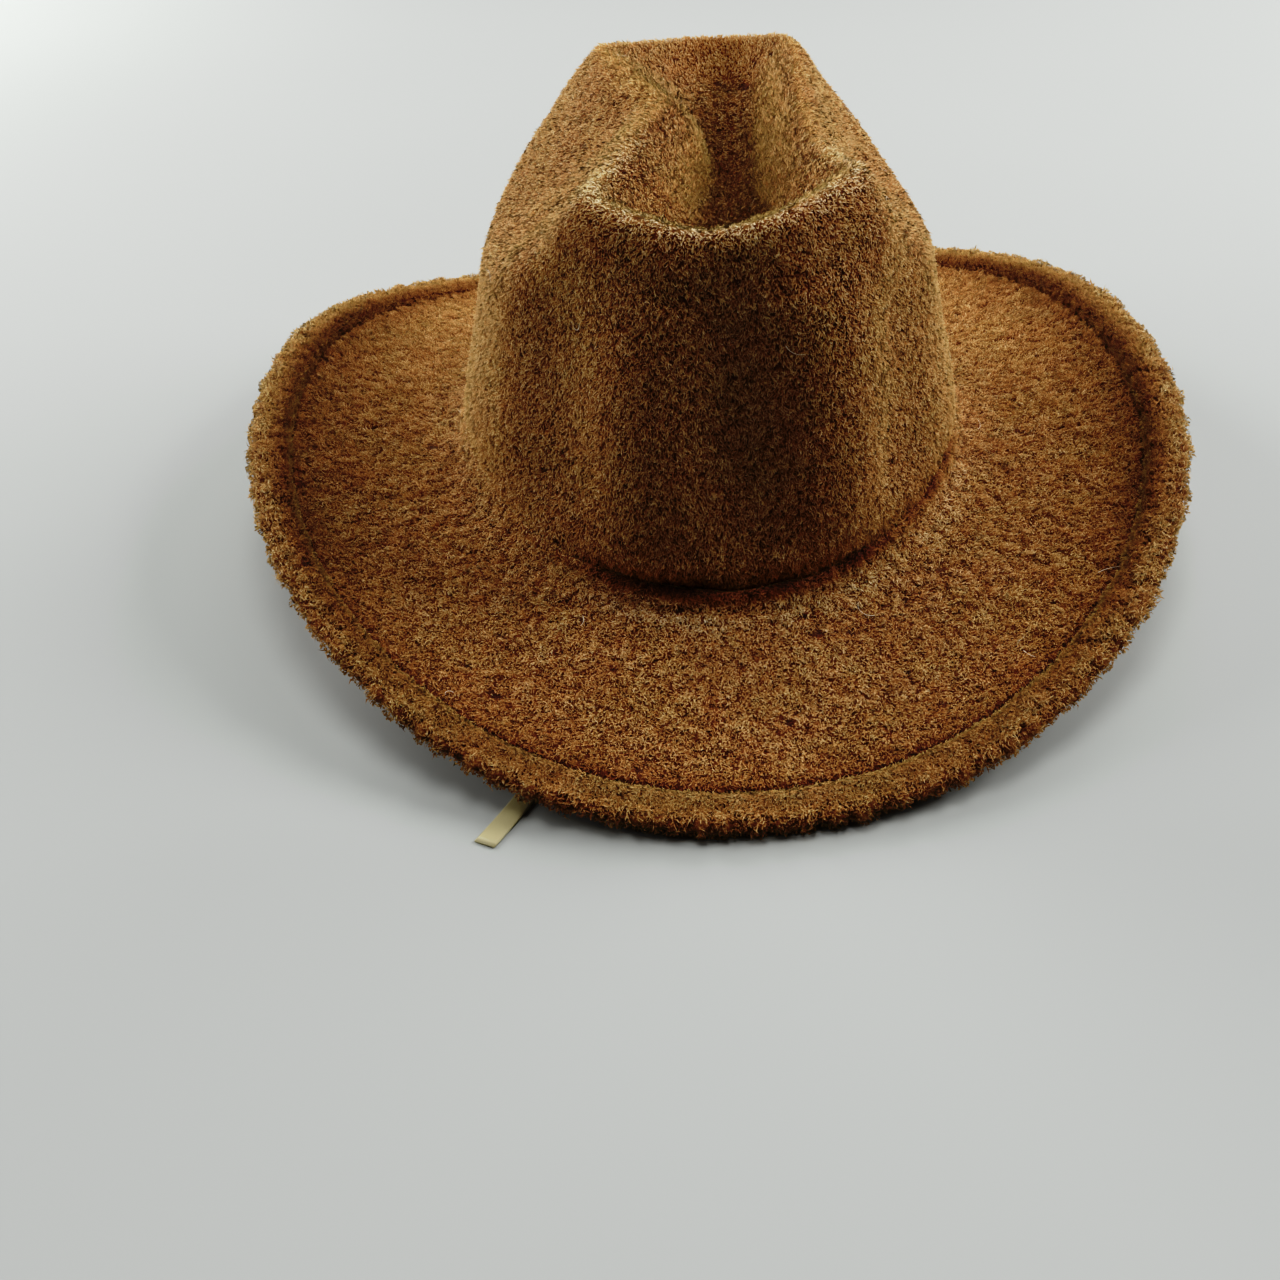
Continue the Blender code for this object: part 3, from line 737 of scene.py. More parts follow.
def grow_locks(name, sheet, comb, density, light, depth, count, lock, surface, seed):
    """A coat of short curved locks, each a bent kite of fibres, rooted all over a sheet.

    sheet is a grid of points whose columns meet, comb the way the pile lies at each point, density how thick
    it grows there, light how bright it is from 0 to 1, and depth how far a whole clump swells. lock holds the
    sizes and angles of one lock: it rises along a line from its root to its widest place, and from there its
    tip goes on along a second line, curled over and to one side. Locks in one clump lean alike.
    """
    rng = np.random.default_rng(seed)
    rows, columns = sheet.shape[:2]
    normals = sheet_normals(sheet)
    east = np.roll(sheet, -1, axis=1)[:-1] - sheet[:-1]
    north = sheet[1:] - sheet[:-1]
    area = length(np.cross(east, north))[..., 0] * (density[:-1] + density[1:]) / 2
    share = np.cumsum(area.ravel())
    pick = np.searchsorted(share, (np.arange(count) + rng.random(count)) / count * share[-1])
    row, column = np.divmod(np.minimum(pick, area.size - 1), columns)
    s, t = rng.random((2, count, 1))
    after = (column + 1) % columns

    def read(grid):
        low = grid[row, column] * (1 - t) + grid[row, after] * t
        high = grid[row + 1, column] * (1 - t) + grid[row + 1, after] * t
        return low * (1 - s) + high * s

    root, up, ahead, own_light = read(sheet), unit(read(normals)), read(comb), read(light[..., None])
    rise = read(depth[..., None])
    kept = rng.random(count) > partings(root, seed + 19)
    root, up, ahead, own_light, rise = root[kept], up[kept], ahead[kept], own_light[kept], rise[kept]
    count = len(root)
    ahead = unit(ahead - up * (ahead * up).sum(axis=-1, keepdims=True))
    beside = np.cross(up, ahead)
    near, _, cell = nearest_clump(root, lock["clump"], seed)
    turn_of_clump = (hashed(cell, seed + 5) - 0.5) * lock["clump_turn"]
    swing = np.radians(turn_of_clump + rng.normal(0, lock["scatter"], count))[:, None]
    heading = ahead * np.cos(swing) + beside * np.sin(swing)
    dome = (np.clip(1 - near**2, 0, 1) * (0.45 + 0.55 * hashed(cell, seed + 7)))[:, None]
    size = lock["long"] * (0.6 + 0.8 * rng.random(count))[:, None] * (0.75 + 0.5 * dome)
    lift = np.radians(lock["lift"] + rng.normal(0, lock["lift_scatter"], count))[:, None]
    curl = np.radians(lock["curl"] * (0.4 + 1.2 * rng.random(count)))[:, None]
    twirl = np.radians(lock["twirl"] * rng.normal(0, 1, count))[:, None]
    roll = np.radians(rng.normal(0, lock["roll"], count))[:, None]
    root = root + up * (rise * dome)
    lower = heading * np.cos(lift) + up * np.sin(lift)
    turned = heading * np.cos(twirl) + np.cross(up, heading) * np.sin(twirl)
    upper = turned * np.cos(lift - curl) + up * np.sin(lift - curl)
    across = unit(np.cross(lower, up))
    across = across * np.cos(roll) + np.cross(lower, across) * np.sin(roll)
    half = lock["wide"] / 2 * (0.7 + 0.6 * rng.random(count))[:, None]
    middle = root + lower * size * 0.45
    tip = middle + upper * size * 0.55
    points = above_floor(np.stack([root, middle - across * half, middle + across * half, tip], axis=1))
    # Painted highlight on the tops of clumps and a random tone for each lock; LOCK_SHADES paint shade towards
    # the root.
    lit = (0.58 + 0.24 * rng.random(count)[:, None] + 0.2 * dome) * own_light
    shade = lit * LOCK_SHADES
    tint = np.repeat(np.clip(soft_noise(root, 9 * MM, seed + 3) + rng.normal(0, 0.2, count), 0, 1), 4)
    facing = unit(np.cross(points[:, 2] - points[:, 1], points[:, 3] - points[:, 0]))
    facing = facing * np.sign((facing * up).sum(axis=-1, keepdims=True))
    soft = np.repeat(unit(up * SOFT_SHARE + facing * (1 - SOFT_SHARE))[:, None], 4, axis=1)
    return lock_coats(name, points, shade, tint.reshape(-1, 4), soft, surface)


def lock_coats(name, points, shade, tint, normals, surface):
    """The locks as meshes of two triangles each, in as many pieces as needed.

    On a piece's own map every lock has a cell of a square grid, and is a diamond in it.
    """
    coats = []
    count = len(points)
    parts = int(np.ceil(count / LOCKS_A_PIECE))
    for part, own in enumerate(np.array_split(np.arange(count), parts)):
        first = np.arange(len(own))[:, None] * 4
        corners = (first + [0, 2, 1, 1, 2, 3]).ravel()
        label = name if parts == 1 else f"{name}_{part + 1}"
        flat, soft = points[own].reshape(-1, 3), normals[own].reshape(-1, 3)
        sizes = np.full(2 * len(own), 3)
        coat = add_mesh(label, flat, corners, sizes, surface, shade[own].ravel(), tint[own].ravel(), soft)
        per_side = int(np.ceil(np.sqrt(len(own))))
        cell = np.stack(np.divmod(np.arange(len(own)), per_side), axis=-1)[:, None]
        set_bake_map(coat, ((cell + DIAMOND) / per_side).reshape(-1, 2))
        coats.append(coat)
    return coats


# Materials


def linear(hex_colour):
    """An sRGB hex colour as linear red, green, blue and alpha."""
    parts = np.array([int(hex_colour[i : i + 2], 16) for i in (0, 2, 4)]) / 255
    return (*np.where(parts <= 0.04045, parts / 12.92, ((parts + 0.055) / 1.055) ** 2.4), 1.0)


def add_node(tree, kind, settings=None, **inputs):
    """One node with its settings and inputs. An input is named, or i and its number, and set or linked."""
    node = tree.nodes.new(kind)
    for name, value in (settings or {}).items():
        setattr(node, name, value)
    for name, value in inputs.items():
        numbered = name[0] == "i" and name[1:].isdigit()
        socket = node.inputs[int(name[1:]) if numbered else name.replace("_", " ")]
        if isinstance(value, bpy.types.NodeSocket):
            tree.links.new(value, socket)
        else:
            socket.default_value = value
    return node


def new_material(name, **constants):
    """A material with one Principled shader, these constants on it, and its tree."""
    made = bpy.data.materials.new(name)
    made.use_nodes = True
    shader = made.node_tree.nodes["Principled BSDF"]
    for socket, value in constants.items():
        shader.inputs[socket.replace("_", " ")].default_value = value
    return made, made.node_tree, shader


def ramp(tree, factor, stops):
    """A colour ramp through hex colours at these places."""
    node = add_node(tree, "ShaderNodeValToRGB", Fac=factor)
    elements = node.color_ramp.elements
    while len(elements) < len(stops):
        elements.new(0.5)
    for element, (place, hex_colour) in zip(elements, stops):
        element.position = place
        element.color = linear(hex_colour)
    return node.outputs["Color"]


def plush(name, hues):
    """Polyester plush: brushed fibres, dark where they are deep, which is painted shade, and golden at their
    tips.

    The colour is the ramp of depths at the pile's shade, speckled by noise as fine as a bundle of fibres,
    times the ramp of hues at its tint. The same noise is its relief.
    """
    made, tree, shader = new_material(
        name,
        Roughness=0.8,
        Specular_IOR_Level=0.2,
        Sheen_Weight=0.95,
        Sheen_Roughness=0.4,
        Sheen_Tint=linear(PLUSH_SHEEN),
    )
    shade = add_node(tree, "ShaderNodeAttribute", {"attribute_name": "shade"}).outputs["Fac"]
    tint = add_node(tree, "ShaderNodeAttribute", {"attribute_name": "tint"}).outputs["Fac"]
    place = add_node(tree, "ShaderNodeTexCoord").outputs["Object"]
    fine = {"Scale": 1 / FIBRE_BUNDLE, "Detail": 3.0, "Roughness": 0.6}
    fibres = add_node(tree, "ShaderNodeTexNoise", Vector=place, **fine).outputs["Fac"]
    span = {"From_Min": 0.3, "From_Max": 0.7, "To_Min": -0.16, "To_Max": 0.16}
    speckle = add_node(tree, "ShaderNodeMapRange", None, Value=fibres, **span).outputs["Result"]
    depth = add_node(tree, "ShaderNodeMath", {"operation": "ADD"}, i0=shade, i1=speckle).outputs["Value"]
    colour, drift = ramp(tree, depth, PLUSH_DEPTHS), ramp(tree, tint, hues)
    multiply = {"data_type": "RGBA", "blend_type": "MULTIPLY"}
    mixed = add_node(tree, "ShaderNodeMix", multiply, i0=1.0, i6=colour, i7=drift)
    tree.links.new(mixed.outputs[2], shader.inputs["Base Color"])
    # A lock takes the light alike on both its faces, so its normal is turned round again on the back one.
    side = add_node(tree, "ShaderNodeNewGeometry").outputs
    to_sign = add_node(tree, "ShaderNodeMapRange", None, Value=side["Backfacing"], To_Min=1.0, To_Max=-1.0)
    sign = to_sign.outputs["Result"]
    turned = add_node(tree, "ShaderNodeVectorMath", {"operation": "SCALE"}, Vector=side["Normal"], Scale=sign)
    bumps = {"Strength": 0.5, "Distance": FIBRE_RELIEF, "Height": fibres}
    relief = add_node(tree, "ShaderNodeBump", None, Normal=turned.outputs["Vector"], **bumps)
    tree.links.new(relief.outputs["Normal"], shader.inputs["Normal"])
    return made


def stray_hair(name):
    """Loose polyester fibre: thin, pale and a little shiny."""
    made, _, _ = new_material(name, Roughness=0.45, Base_Color=linear(HAIR_COLOUR))
    return made


def satin(name):
    """Polyester satin ribbon: long smooth floats that shine along the ribbon, in a wave of fine ribs."""
    made, tree, shader = new_material(name, Roughness=0.38, Specular_IOR_Level=0.5, Anisotropic=0.5)
    across = add_node(tree, "ShaderNodeUVMap", {"uv_map": "along"}).outputs["UV"]
    bands = {"bands_direction": "X"}
    ribs = add_node(tree, "ShaderNodeTexWave", bands, Vector=across, Scale=RIBBON_RIBS / 2, Distortion=0.6)
    # Painted shade in the ribs' grooves and painted highlight on their tops.
    colour = ramp(tree, ribs.outputs["Fac"], SATIN_COLOURS)
    tree.links.new(colour, shader.inputs["Base Color"])
    relief = add_node(tree, "ShaderNodeBump", Strength=0.4, Distance=0.1 * MM, Height=ribs.outputs["Fac"])
    tree.links.new(relief.outputs["Normal"], shader.inputs["Normal"])
    return made


def paper(name):
    """Pale matt backdrop paper."""
    made, tree, shader = new_material(name, Roughness=0.9, Specular_IOR_Level=0.2)
    place = add_node(tree, "ShaderNodeTexCoord").outputs["Object"]
    mottle = add_node(tree, "ShaderNodeTexNoise", Vector=place, Scale=1.5, Detail=2.0)
    colour = ramp(tree, mottle.outputs["Fac"], PAPER_COLOURS)
    tree.links.new(colour, shader.inputs["Base Color"])
    return made


# Pieces


def seam_shows(turn):
    """1 where the seam round the crown is a tucked groove with painted shade, at the back and the front, and
    0 at the sides.

    It eases in and out at the ends of each stretch, and noise along it wears it away in places.
    """
    degrees = np.degrees(turn)
    shows = 0
    for middle in (0, 180, 360):
        low, high = SEAM_SHOWS[0] + middle, SEAM_SHOWS[1] + middle
        shows = shows + ease(degrees, low - SEAM_FADE, low) * (1 - ease(degrees, high, high + SEAM_FADE))
    plan = np.column_stack([crown_base(turn), 0 * turn])
    return shows * (1 - SEAM_WEAR * soft_noise(plan, SEAM_WEAR_LENGTH, 83))


def signed_degrees(turn):
    """The turn in degrees, from -180 to 180."""
    return (np.degrees(turn) + 180) % 360 - 180


def off_back_seam(turn):
    """The distance from the short upright seam at the back, along the crown's base, in the seam's widths."""
    return np.radians(signed_degrees(turn) - BACK_SEAM_TURN) * CROWN_HALF_WIDTH / BACK_SEAM_WIDTH


def crown_outside(rows, columns):
    """The crown's outer surface with its soft folds, its back seam and its turned-in edge at the seam.

    The crest at the back is rounded by a weighted mean over nearby rows. The rest is a swell along the
    normal: the folds a curve through their table, faded in and out with height, the edge an ease, and the
    belly above it and the back seam bell curves.
    """
    surface = crown_surface(rows, columns)
    turn = turns(columns)
    reach = range(-SOFT_CREST, SOFT_CREST + 1)
    weights = {step: SOFT_CREST + 1 - abs(step) for step in reach}
    padded = np.pad(surface, ((SOFT_CREST,) * 2, (0, 0), (0, 0)), mode="reflect", reflect_type="odd")
    rounded = sum(weights[step] * padded[SOFT_CREST + step :][:rows] for step in reach)
    rounded = rounded / sum(weights.values())
    at_back = ease(np.cos(turn), *BACK_HALF) * ease(surface[..., 2], *CREST_HEIGHT)
    surface = surface + (rounded - surface) * at_back[..., None]
    z = surface[..., 2]
    above = z - seam_height(turn)
    on_wall = np.arange(rows)[:, None] < rows * WALL_ROWS
    table = np.array(CROWN_FOLDS, float)
    degrees = np.clip(signed_degrees(turn), table[0, 0], table[-1, 0])
    folds = smooth_through(degrees, table[:, 0], table[:, 1:])[:, 0] * MM
    swell = folds * ease(above, 0, FOLD_RISE) * (1 - ease(z, *FOLD_TOP)) * on_wall
    # At the sides the wall swells just above the seam, so that it runs into the brim without a line.
    fading = np.exp(-np.maximum(above, 0) / SIDE_SWELL_HEIGHT)
    swell = swell + SIDE_SWELL * side_share(turn) * fading * on_wall
    bare = seam_shows(turn)
    edge = 1 - ease(above, 0, SEAM_TUCK_HEIGHT)
    belly = bell(above - 2.2 * SEAM_TUCK_HEIGHT, SEAM_TUCK_HEIGHT)
    swell = swell + bare * (SEAM_SWELL * belly - SEAM_TUCK * edge) * on_wall
    low_down = 1 - ease(above, 0, BACK_SEAM_HEIGHT)
    swell = swell - BACK_SEAM_DEPTH * bell(off_back_seam(turn), 1) * low_down * on_wall
    return surface + sheet_normals(surface) * swell[..., None]


def make_crown(surface):
    """The crown: its fleece and its pile, combed down the wall and over the crest, with painted shade in the
    seams and a painted highlight on the crest at the back.
    """
    outer = crown_outside(CROWN_ROWS, CROWN_COLUMNS)
    turn = turns(CROWN_COLUMNS)
    row = np.arange(CROWN_ROWS)[:, None]
    above_seam = outer[..., 2] - seam_height(turn)
    on_wall = row < CROWN_ROWS * WALL_ROWS
    inner = crown_surface(CROWN_INSIDE_ROWS, CROWN_COLUMNS)
    inner = inner - sheet_normals(inner) * CROWN_WALL
    # Painted shade in the seam round the crown.
    in_seam = seam_shows(turn) * bell(above_seam, SEAM_DARK[0]) * on_wall
    # Painted shade in the short upright seam at the back.
    back_seam = (np.abs(off_back_seam(turn)) < 0.6) * (above_seam < BACK_SEAM_HEIGHT / 2) * on_wall
    light = (1 - (1 - SEAM_LIGHT) * in_seam) * (1 - (1 - BACK_SEAM_LIGHT) * back_seam)
    # Painted highlight along the crest at the back.
    from_crest = row - np.argmax(outer[..., 2], axis=0)
    on_crest = ease(np.cos(turn), *BACK_HALF) * bell(from_crest, CREST_HIGHLIGHT_ROWS)
    light = light * (1 + CREST_HIGHLIGHT * on_crest)
    depth = CROWN_FLEECE * (1 - 0.6 * in_seam) * (above_seam > -2 * MM)
    for end in (0, CROWN_COLUMNS // 2):
        depth = depth * ease(length(outer - outer[-1, end])[..., 0], *CREASE_END)
    crown = ring_piece("crown_plush", outer, inner, depth, CROWN_CLUMP, surface, 11, light, ends_meet=True)
    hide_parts("crown")
    along = CREASE_COMB * ease(row + 0 * turn, *(CROWN_ROWS * share for share in CREASE_ROWS)) ** 3
    comb = unit(-np.gradient(outer, axis=0)) * (1 - along)[..., None] + np.multiply.outer(along, [0, -1, 0])
    density = 1.0 * (above_seam > -1 * MM)
    coats = grow_locks("crown_pile", outer, comb, density, light, depth, CROWN_LOCKS, CROWN_LOCK, surface, 11)
    for piece in [crown] + coats:
        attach(piece, "root")


def ripples(turn, run, salt):
    """Soft noise from 0 to 1 on the brim, stretched along its run from the crown to the edge."""
    around = np.stack([np.sin(turn), -np.cos(turn)], axis=-1) * BRIM_HALF_WIDTH * 0.8
    around = np.broadcast_to(around, run.shape + (2,))
    flat = np.concatenate([around, run[..., None] / RIPPLE_STRETCH], axis=-1)
    both = 0.6 * soft_noise(flat, RIPPLE_WIDTH, salt) + 0.4 * soft_noise(flat, RIPPLE_WIDTH / 2, salt + 1)
    return np.clip((both - 0.26) / 0.36, 0, 1)


def make_brim(surface):
    """The brim: its puckered fleece above, its plain side below, and the pile on both.

    The puckers are noise along the normal that fades out at the seam and at the groove. Painted shade darkens
    the pile in bell curves and eases round both, and painted highlights lighten the puckers' tops and the
    rise.
    """
    top = brim_top(BRIM_ROWS, BRIM_COLUMNS)
    under = brim_underside(BRIM_UNDER_ROWS, BRIM_COLUMNS)
    turn = turns(BRIM_COLUMNS)
    from_seam = length(top - top[0])[..., 0]
    from_groove = np.maximum(length(top - top[-1])[..., 0] - TONGUE, 0)
    bare = seam_shows(turn)
    pucker = ripples(turn, from_seam, 35)
    calm = ease(from_seam, *CALM_AT_SEAM) * ease(from_groove, *CALM_AT_GROOVE)
    top = top + sheet_normals(top) * (RIPPLE * calm * (pucker - 0.7))[..., None]
    top[..., 2] += bare * SEAM_LIFT * (1 - ease(from_seam, 0, SEAM_LIFT_RUN))
    # Painted shade in the seam and in the second line beside it.
    in_seam = bare * (1 - ease(from_seam, 0.6 * SEAM_DARK[1], 1.4 * SEAM_DARK[1]))
    welt = bare * bell(from_seam - WELT_GROOVE, WELT_GROOVE_WIDTH)
    at_edge = ease(from_groove, 0, GROOVE_TUCK)
    light = (1 - (1 - SEAM_LIGHT) * in_seam) * (1 - (1 - WELT_LIGHT) * welt)
    # Painted shade in the groove and on the pile beside it.
    light = light * (GROOVE_LIGHT + (1 - GROOVE_LIGHT) * at_edge)
    light = light * (1 - GROOVE_SHADE * np.exp(-from_groove / GROOVE_SHADE_RUN))
    # Painted highlights on the puckers' tops and where the brim turns up beside the seam, painted shade in
    # the puckers' hollows.
    light = light * (1 + RIPPLE_LIGHT * calm * (pucker - 0.8))
    light = light * (1 + SEAM_RISE_LIGHT * bare * bell(from_seam - SEAM_RISE, SEAM_RISE_WIDTH))
    first = np.arange(BRIM_ROWS)[:, None] == 0
    depth = BRIM_FLEECE * (1 - 0.5 * in_seam) * (1 - 0.5 * welt) * at_edge * ~first
    density = 1.0 * (from_groove > GROOVE_TUCK * 0.8)
    top, light, depth, density = top[::-1], light[::-1], depth[::-1], density[::-1]
    brim = ring_piece("brim_plush", top, under, depth, BRIM_CLUMP, surface, 31, light, ends_meet=False)
    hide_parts("brim")
    comb = -np.gradient(top, axis=0)
    coats = grow_locks("brim_pile", top, comb, density, light, depth, BRIM_LOCKS, BRIM_LOCK, surface, 31)
    under = under[::-1]
    comb = np.gradient(under, axis=0)
    even = 1.0 * (under[..., 2] > 1.5 * MM)
    flat = 0 * even
    coats += grow_locks("brim_pile_under", under, comb, even, even, flat, UNDER_LOCKS, BRIM_LOCK, surface, 45)
    for piece in [brim] + coats:
        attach(piece, "root")


def make_binding(surface):
    """The binding: its roll, with short pile beside the groove that turns into long clumps over the edge.

    The roll swells along its normals by an ease up from the groove and one down again, and its backing is
    pulled in by an ease, each as far as the turn's blend says. Eases also thin the pile and paint shade on
    it.
    """
    turn = turns(BINDING_COLUMNS)
    at_sides = side_share(turn)
    outer = binding_surface(BINDING_ROWS, BINDING_COLUMNS)[::-1]
    middle = (outer[0] + outer[-1]) / 2
    inner = middle + (outer[:: BINDING_ROWS // 6] - middle) * BINDING_INNER_SHARE
    from_top = length(outer - outer[-1])[..., 0]
    from_groove = np.minimum(from_top, length(outer - outer[0])[..., 0])
    on_top = np.arange(BINDING_ROWS)[:, None] > BINDING_ROWS * 0.4
    standing = ease(from_top, 0, BINDING_SWELL_RISE) * (1 - ease(from_top, *BINDING_SWELL_FALL))
    pull = blend(BINDING_PULL, turn) * ease(from_groove, 0, 2 * BINDING_SWELL_RISE)
    outer = outer + sheet_normals(outer) * (blend(BINDING_SWELL, turn) * standing * on_top - pull)[..., None]
    up = sheet_normals(outer)[..., 2]
    # Painted shade in the groove.
    light = GROOVE_LIGHT + (1 - GROOVE_LIGHT) * ease(from_groove, 0, 0.6 * GROOVE_TUCK)
    # Painted shade under the roll, on its side towards the crown and where it lies flat.
    light = light * (1 - UNDER_SHADE * (1 - ease(up, *UNDER_SHADE_SLOPE)))
    light = light * (1 - INNER_SHADE * (1 - ease(from_top, *INNER_SHADE_RUN)) * on_top * at_sides)
    light = light * (1 - NEAR_SHADE * on_top * (1 - at_sides))
    at_roll = 1 - (1 - ease(from_top, *BINDING_TOP)) * (1 - at_sides)
    rough = np.where(on_top, BINDING_TOP_DEPTH + (1 - BINDING_TOP_DEPTH) * at_roll, 1)
    depth = BINDING_FLEECE * ease(from_groove, -GROOVE_TUCK / 3, 1.6 * GROOVE_TUCK) * rough
    clump = BINDING_CLUMP
    binding = ring_piece("binding_plush", outer, inner, depth, clump, surface, 51, light, ends_meet=False)
    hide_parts("brim_binding")
    hanging = at_sides * (1 - ease(from_top, *OVERHANG_RUN)) * on_top
    comb = -np.gradient(outer, axis=0) * (1 - OVERHANG * hanging)[..., None]
    density = (UNDER_DENSITY + (1 - UNDER_DENSITY) * (up > -0.3)) * (outer[..., 2] > 2.5 * MM)
    density = density * (from_groove > GROOVE_TUCK * 0.03)
    on_roll = np.where(on_top, at_roll, 1)
    coats = []
    for name, share, count, lock in (
        ("binding_pile", on_roll, ROLL_LOCKS, BINDING_LOCK),
        ("binding_pile_top", 1 - on_roll, TOP_LOCKS, BINDING_TOP_LOCK),
    ):
        coats += grow_locks(name, outer, comb, density * share, light, depth, count, lock, surface, 51)
    for piece in [binding] + coats:
        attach(piece, "root")


def make_hairs(surface):
    """A few long stray hairs that cling to the pile, each a narrow strip along a curve with its own bend."""
    rng = np.random.default_rng(71)
    crown = crown_outside(CROWN_ROWS, CROWN_COLUMNS)
    brim = brim_top(BRIM_ROWS, BRIM_COLUMNS)[::-1]
    strips = []
    for sheet, share in ((crown, 0.5), (brim, 0.5)):
        count = int(HAIRS * share)
        row = rng.integers(4, sheet.shape[0] - 4, count)
        column = rng.integers(0, sheet.shape[1], count)
        up = sheet_normals(sheet)[row, column]
        place = sheet[row, column] + up * 1.6 * MM
        ahead = unit(np.cross(up, rng.normal(0, 1, (count, 3))))
        size = HAIR_LENGTH * (0.4 + 0.9 * rng.random(count))[:, None]
        veer = np.radians(rng.normal(0, 16, count))[:, None]
        for step in range(HAIR_STEPS + 1):
            side = np.cross(up, ahead)
            half = HAIR_WIDTH / 2 * (1 - 0.6 * step / HAIR_STEPS)
            strips.append(np.stack([place - side * half, place + side * half], axis=1))
            ahead = unit(ahead * np.cos(veer) + side * np.sin(veer) + up * 0.02)
            place = place + ahead * size / HAIR_STEPS
    per_sheet = HAIR_STEPS + 1
    points = np.concatenate([np.stack(strips[:per_sheet], axis=1), np.stack(strips[per_sheet:], axis=1)])
    points = above_floor(points.reshape(-1, 3))
    hair = np.arange(len(points) // (2 * per_sheet))[:, None, None] * 2 * per_sheet
    quad = np.arange(HAIR_STEPS)[None, :, None] * 2 + np.array([0, 1, 3, 2])
    corners = (hair + quad).ravel()
    hairs = add_mesh("stray_hairs", points, corners, np.full(len(corners) // 4, 4), surface)
    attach(hairs, "root")


def make_ribbon(surface):
    """The ribbon end: a squared ellipse, flat and slightly crowned, carried along a cubic curve."""
    route = np.array(RIBBON_ROUTE) * MM
    along = np.concatenate([[0], np.cumsum(length(np.diff(route, axis=0))[:, 0])])
    middle = smooth_through(np.linspace(0, along[-1], RIBBON_STEPS), along, route)
    ahead = unit(np.gradient(middle, axis=0))
    across = unit(np.cross([0, 0, 1], middle[-1] - middle[0]))
    up = unit(np.cross(ahead, across))
    angle = turns(RIBBON_SIDES)
    flat = power(np.cos(angle), RIBBON_SQUARENESS[0]), power(np.sin(angle), RIBBON_SQUARENESS[1])
    ring = across * (RIBBON_WIDTH / 2) * flat[0][:, None, None]
    ring = ring + up * (RIBBON_THICKNESS / 2) * flat[1][:, None, None]
    points = (middle + ring).transpose(1, 0, 2)
    faces = grid_faces(RIBBON_STEPS, RIBBON_SIDES)
    first_end = np.arange(RIBBON_SIDES)
    last_end = (RIBBON_STEPS - 1) * RIBBON_SIDES + first_end
    corners = np.concatenate([faces.ravel(), first_end[::-1], last_end])
    sizes = np.concatenate([np.full(len(faces), 4), [RIBBON_SIDES, RIBBON_SIDES]])
    ribbon = add_mesh("ribbon_satin", points.reshape(-1, 3), corners, sizes, surface)
    row, column = np.divmod(corners, RIBBON_SIDES)
    layer = ribbon.data.uv_layers.new(name="along")
    uv = np.stack([(flat[0][column] + 1) / 2, row / RIBBON_STEPS], axis=-1)
    layer.uv.foreach_set("vector", uv.astype(np.float32).ravel())
    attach(ribbon, "root")
    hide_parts("ribbon_tail")


# Camera, light and floor


def look(pitch, yaw, roll, place):
    """The matrix of a camera at this place, that looks along +Y when its angles are 0."""
    pitch, yaw, roll = np.radians([pitch, yaw, roll])
    forward = np.array([-np.sin(yaw) * np.cos(pitch), np.cos(yaw) * np.cos(pitch), -np.sin(pitch)])
    right = np.array([np.cos(yaw), np.sin(yaw), 0])
    up = np.cross(right, forward)
    turned_right = np.cos(roll) * right + np.sin(roll) * up
    turned_up = -np.sin(roll) * right + np.cos(roll) * up
    matrix = np.eye(4)
    matrix[:3] = np.column_stack([turned_right, turned_up, -forward, place])
    return Matrix(matrix.tolist())


def make_camera():
    """The photo's camera."""
    data = bpy.data.cameras.new("camera")
    data.sensor_width = SENSOR_WIDTH
    data.lens = FOCAL_LENGTH
    data.clip_start = 0.01
    camera = bpy.data.objects.new("camera", data)
    camera.matrix_world = look(CAMERA_PITCH, CAMERA_YAW, CAMERA_ROLL, CAMERA_PLACE)
    bpy.context.scene.collection.objects.link(camera)
    bpy.context.scene.camera = camera


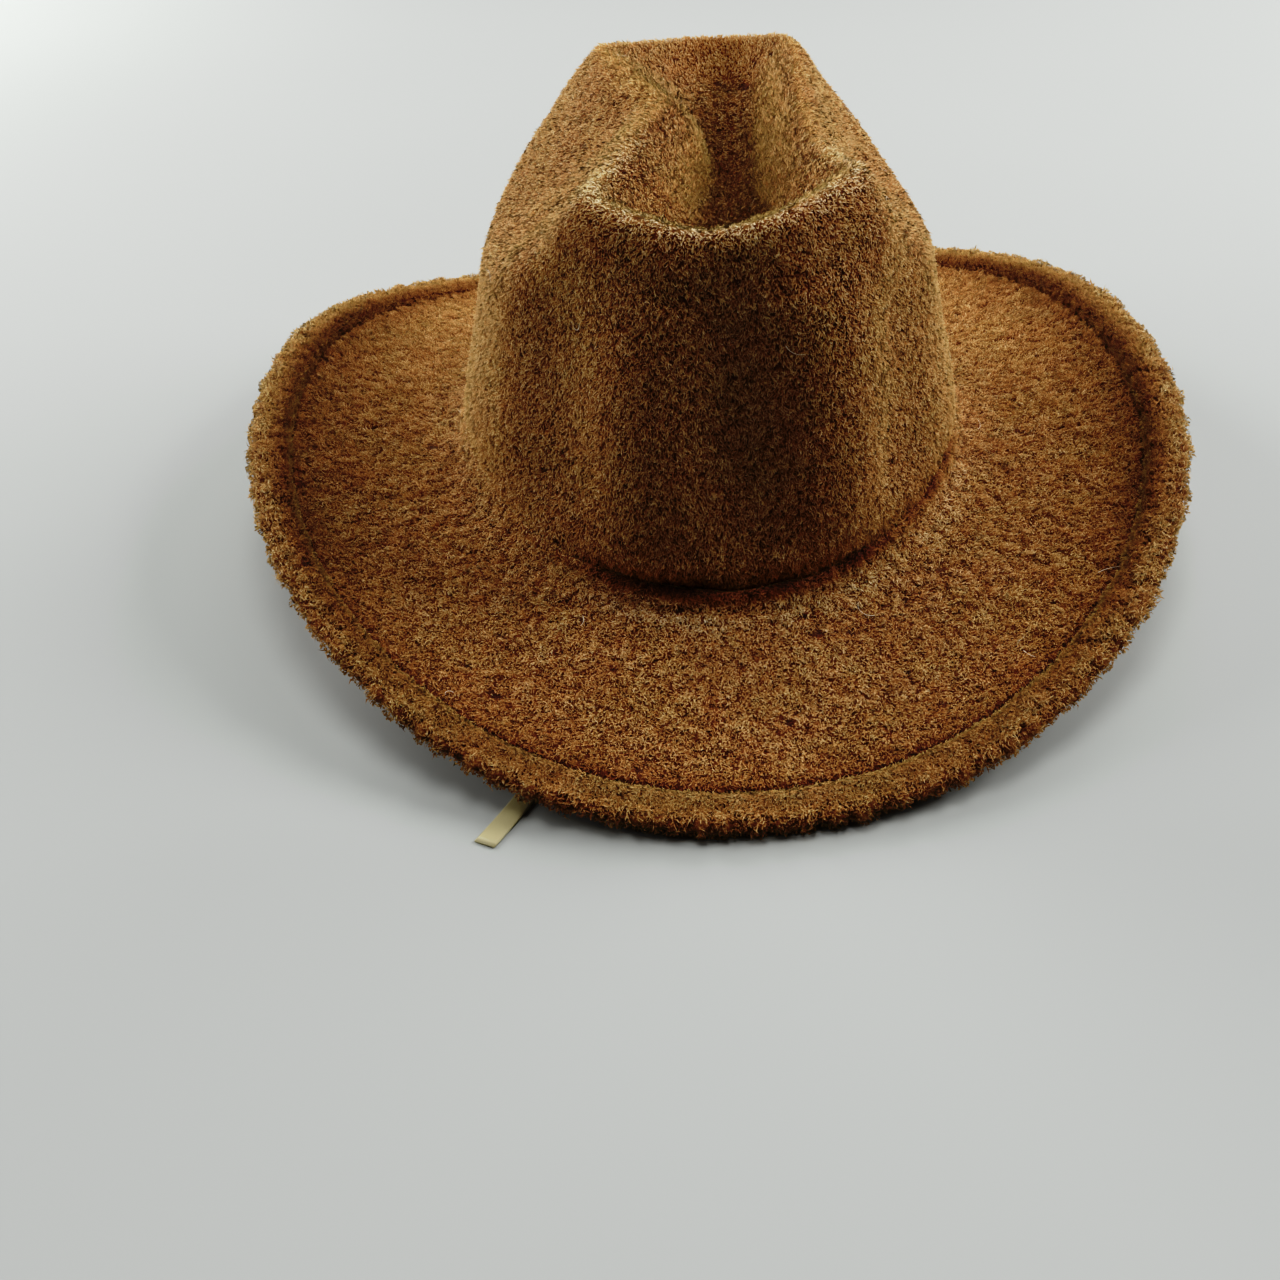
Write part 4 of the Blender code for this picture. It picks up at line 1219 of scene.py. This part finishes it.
def aimed(place, away):
    """The matrix of a lamp at this place that shines this way."""
    back = -unit(np.array(away, float))
    right = unit(np.cross([0, 0, 1], back)) if abs(back[2]) < 0.99 else np.array([1.0, 0, 0])
    matrix = np.eye(4)
    matrix[:3] = np.column_stack([right, np.cross(back, right), back, place])
    return Matrix(matrix.tolist())


def make_lights():
    """Round soft lamps on a dome about the hat, each by its turn and height, and a faint even light."""
    for name, turn, height, size, watts, colour in LIGHTS:
        data = bpy.data.lights.new(name, "AREA")
        data.shape = "DISK"
        data.size = size
        data.energy = watts
        data.color = linear(colour)[:3]
        lamp = bpy.data.objects.new(name, data)
        turn, height = np.radians([turn, height])
        way = np.array([np.sin(turn) * np.cos(height), -np.cos(turn) * np.cos(height), np.sin(height)])
        lamp.matrix_world = aimed(way * LIGHT_DISTANCE + LIGHT_TARGET, -way)
        bpy.context.scene.collection.objects.link(lamp)
    world = bpy.data.worlds.new("studio")
    world.use_nodes = True
    background = world.node_tree.nodes["Background"]
    background.inputs["Color"].default_value = linear(AMBIENT_COLOUR)
    background.inputs["Strength"].default_value = AMBIENT_STRENGTH
    bpy.context.scene.world = world


def set_view():
    """The plain view transform, with the photo camera's contrast as one curve for red, green and blue."""
    view = bpy.context.scene.view_settings
    view.view_transform = "Standard"
    view.use_curve_mapping = True
    both = np.array([[linear(f"{value:02X}0000")[0] for value in pair] for pair in CONTRAST])
    points = view.curve_mapping.curves[3].points
    while len(points) < len(both):
        points.new(0.5, 0.5)
    for point, pair in zip(points, both.tolist()):
        point.location = pair
        point.handle_type = "VECTOR"
    view.curve_mapping.update()


def make_floor(surface):
    """The floor that the hat rests on: one square."""
    half = FLOOR_SIZE / 2
    points = np.array([(-half, -half, 0), (half, -half, 0), (half, half, 0), (-half, half, 0)])
    floor = add_mesh("floor", points, [0, 1, 2, 3], [4], surface)


make_camera()
make_ribbon(satin("ribbon_satin_weave"))
make_crown(plush("crown_plush_pile", PLUSH_HUES))
make_brim(plush("brim_plush_pile", PLUSH_HUES))
make_binding(plush("binding_plush_pile", BINDING_HUES))
make_hairs(stray_hair("stray_hair"))
make_floor(paper("floor_paper"))
make_lights()
set_view()
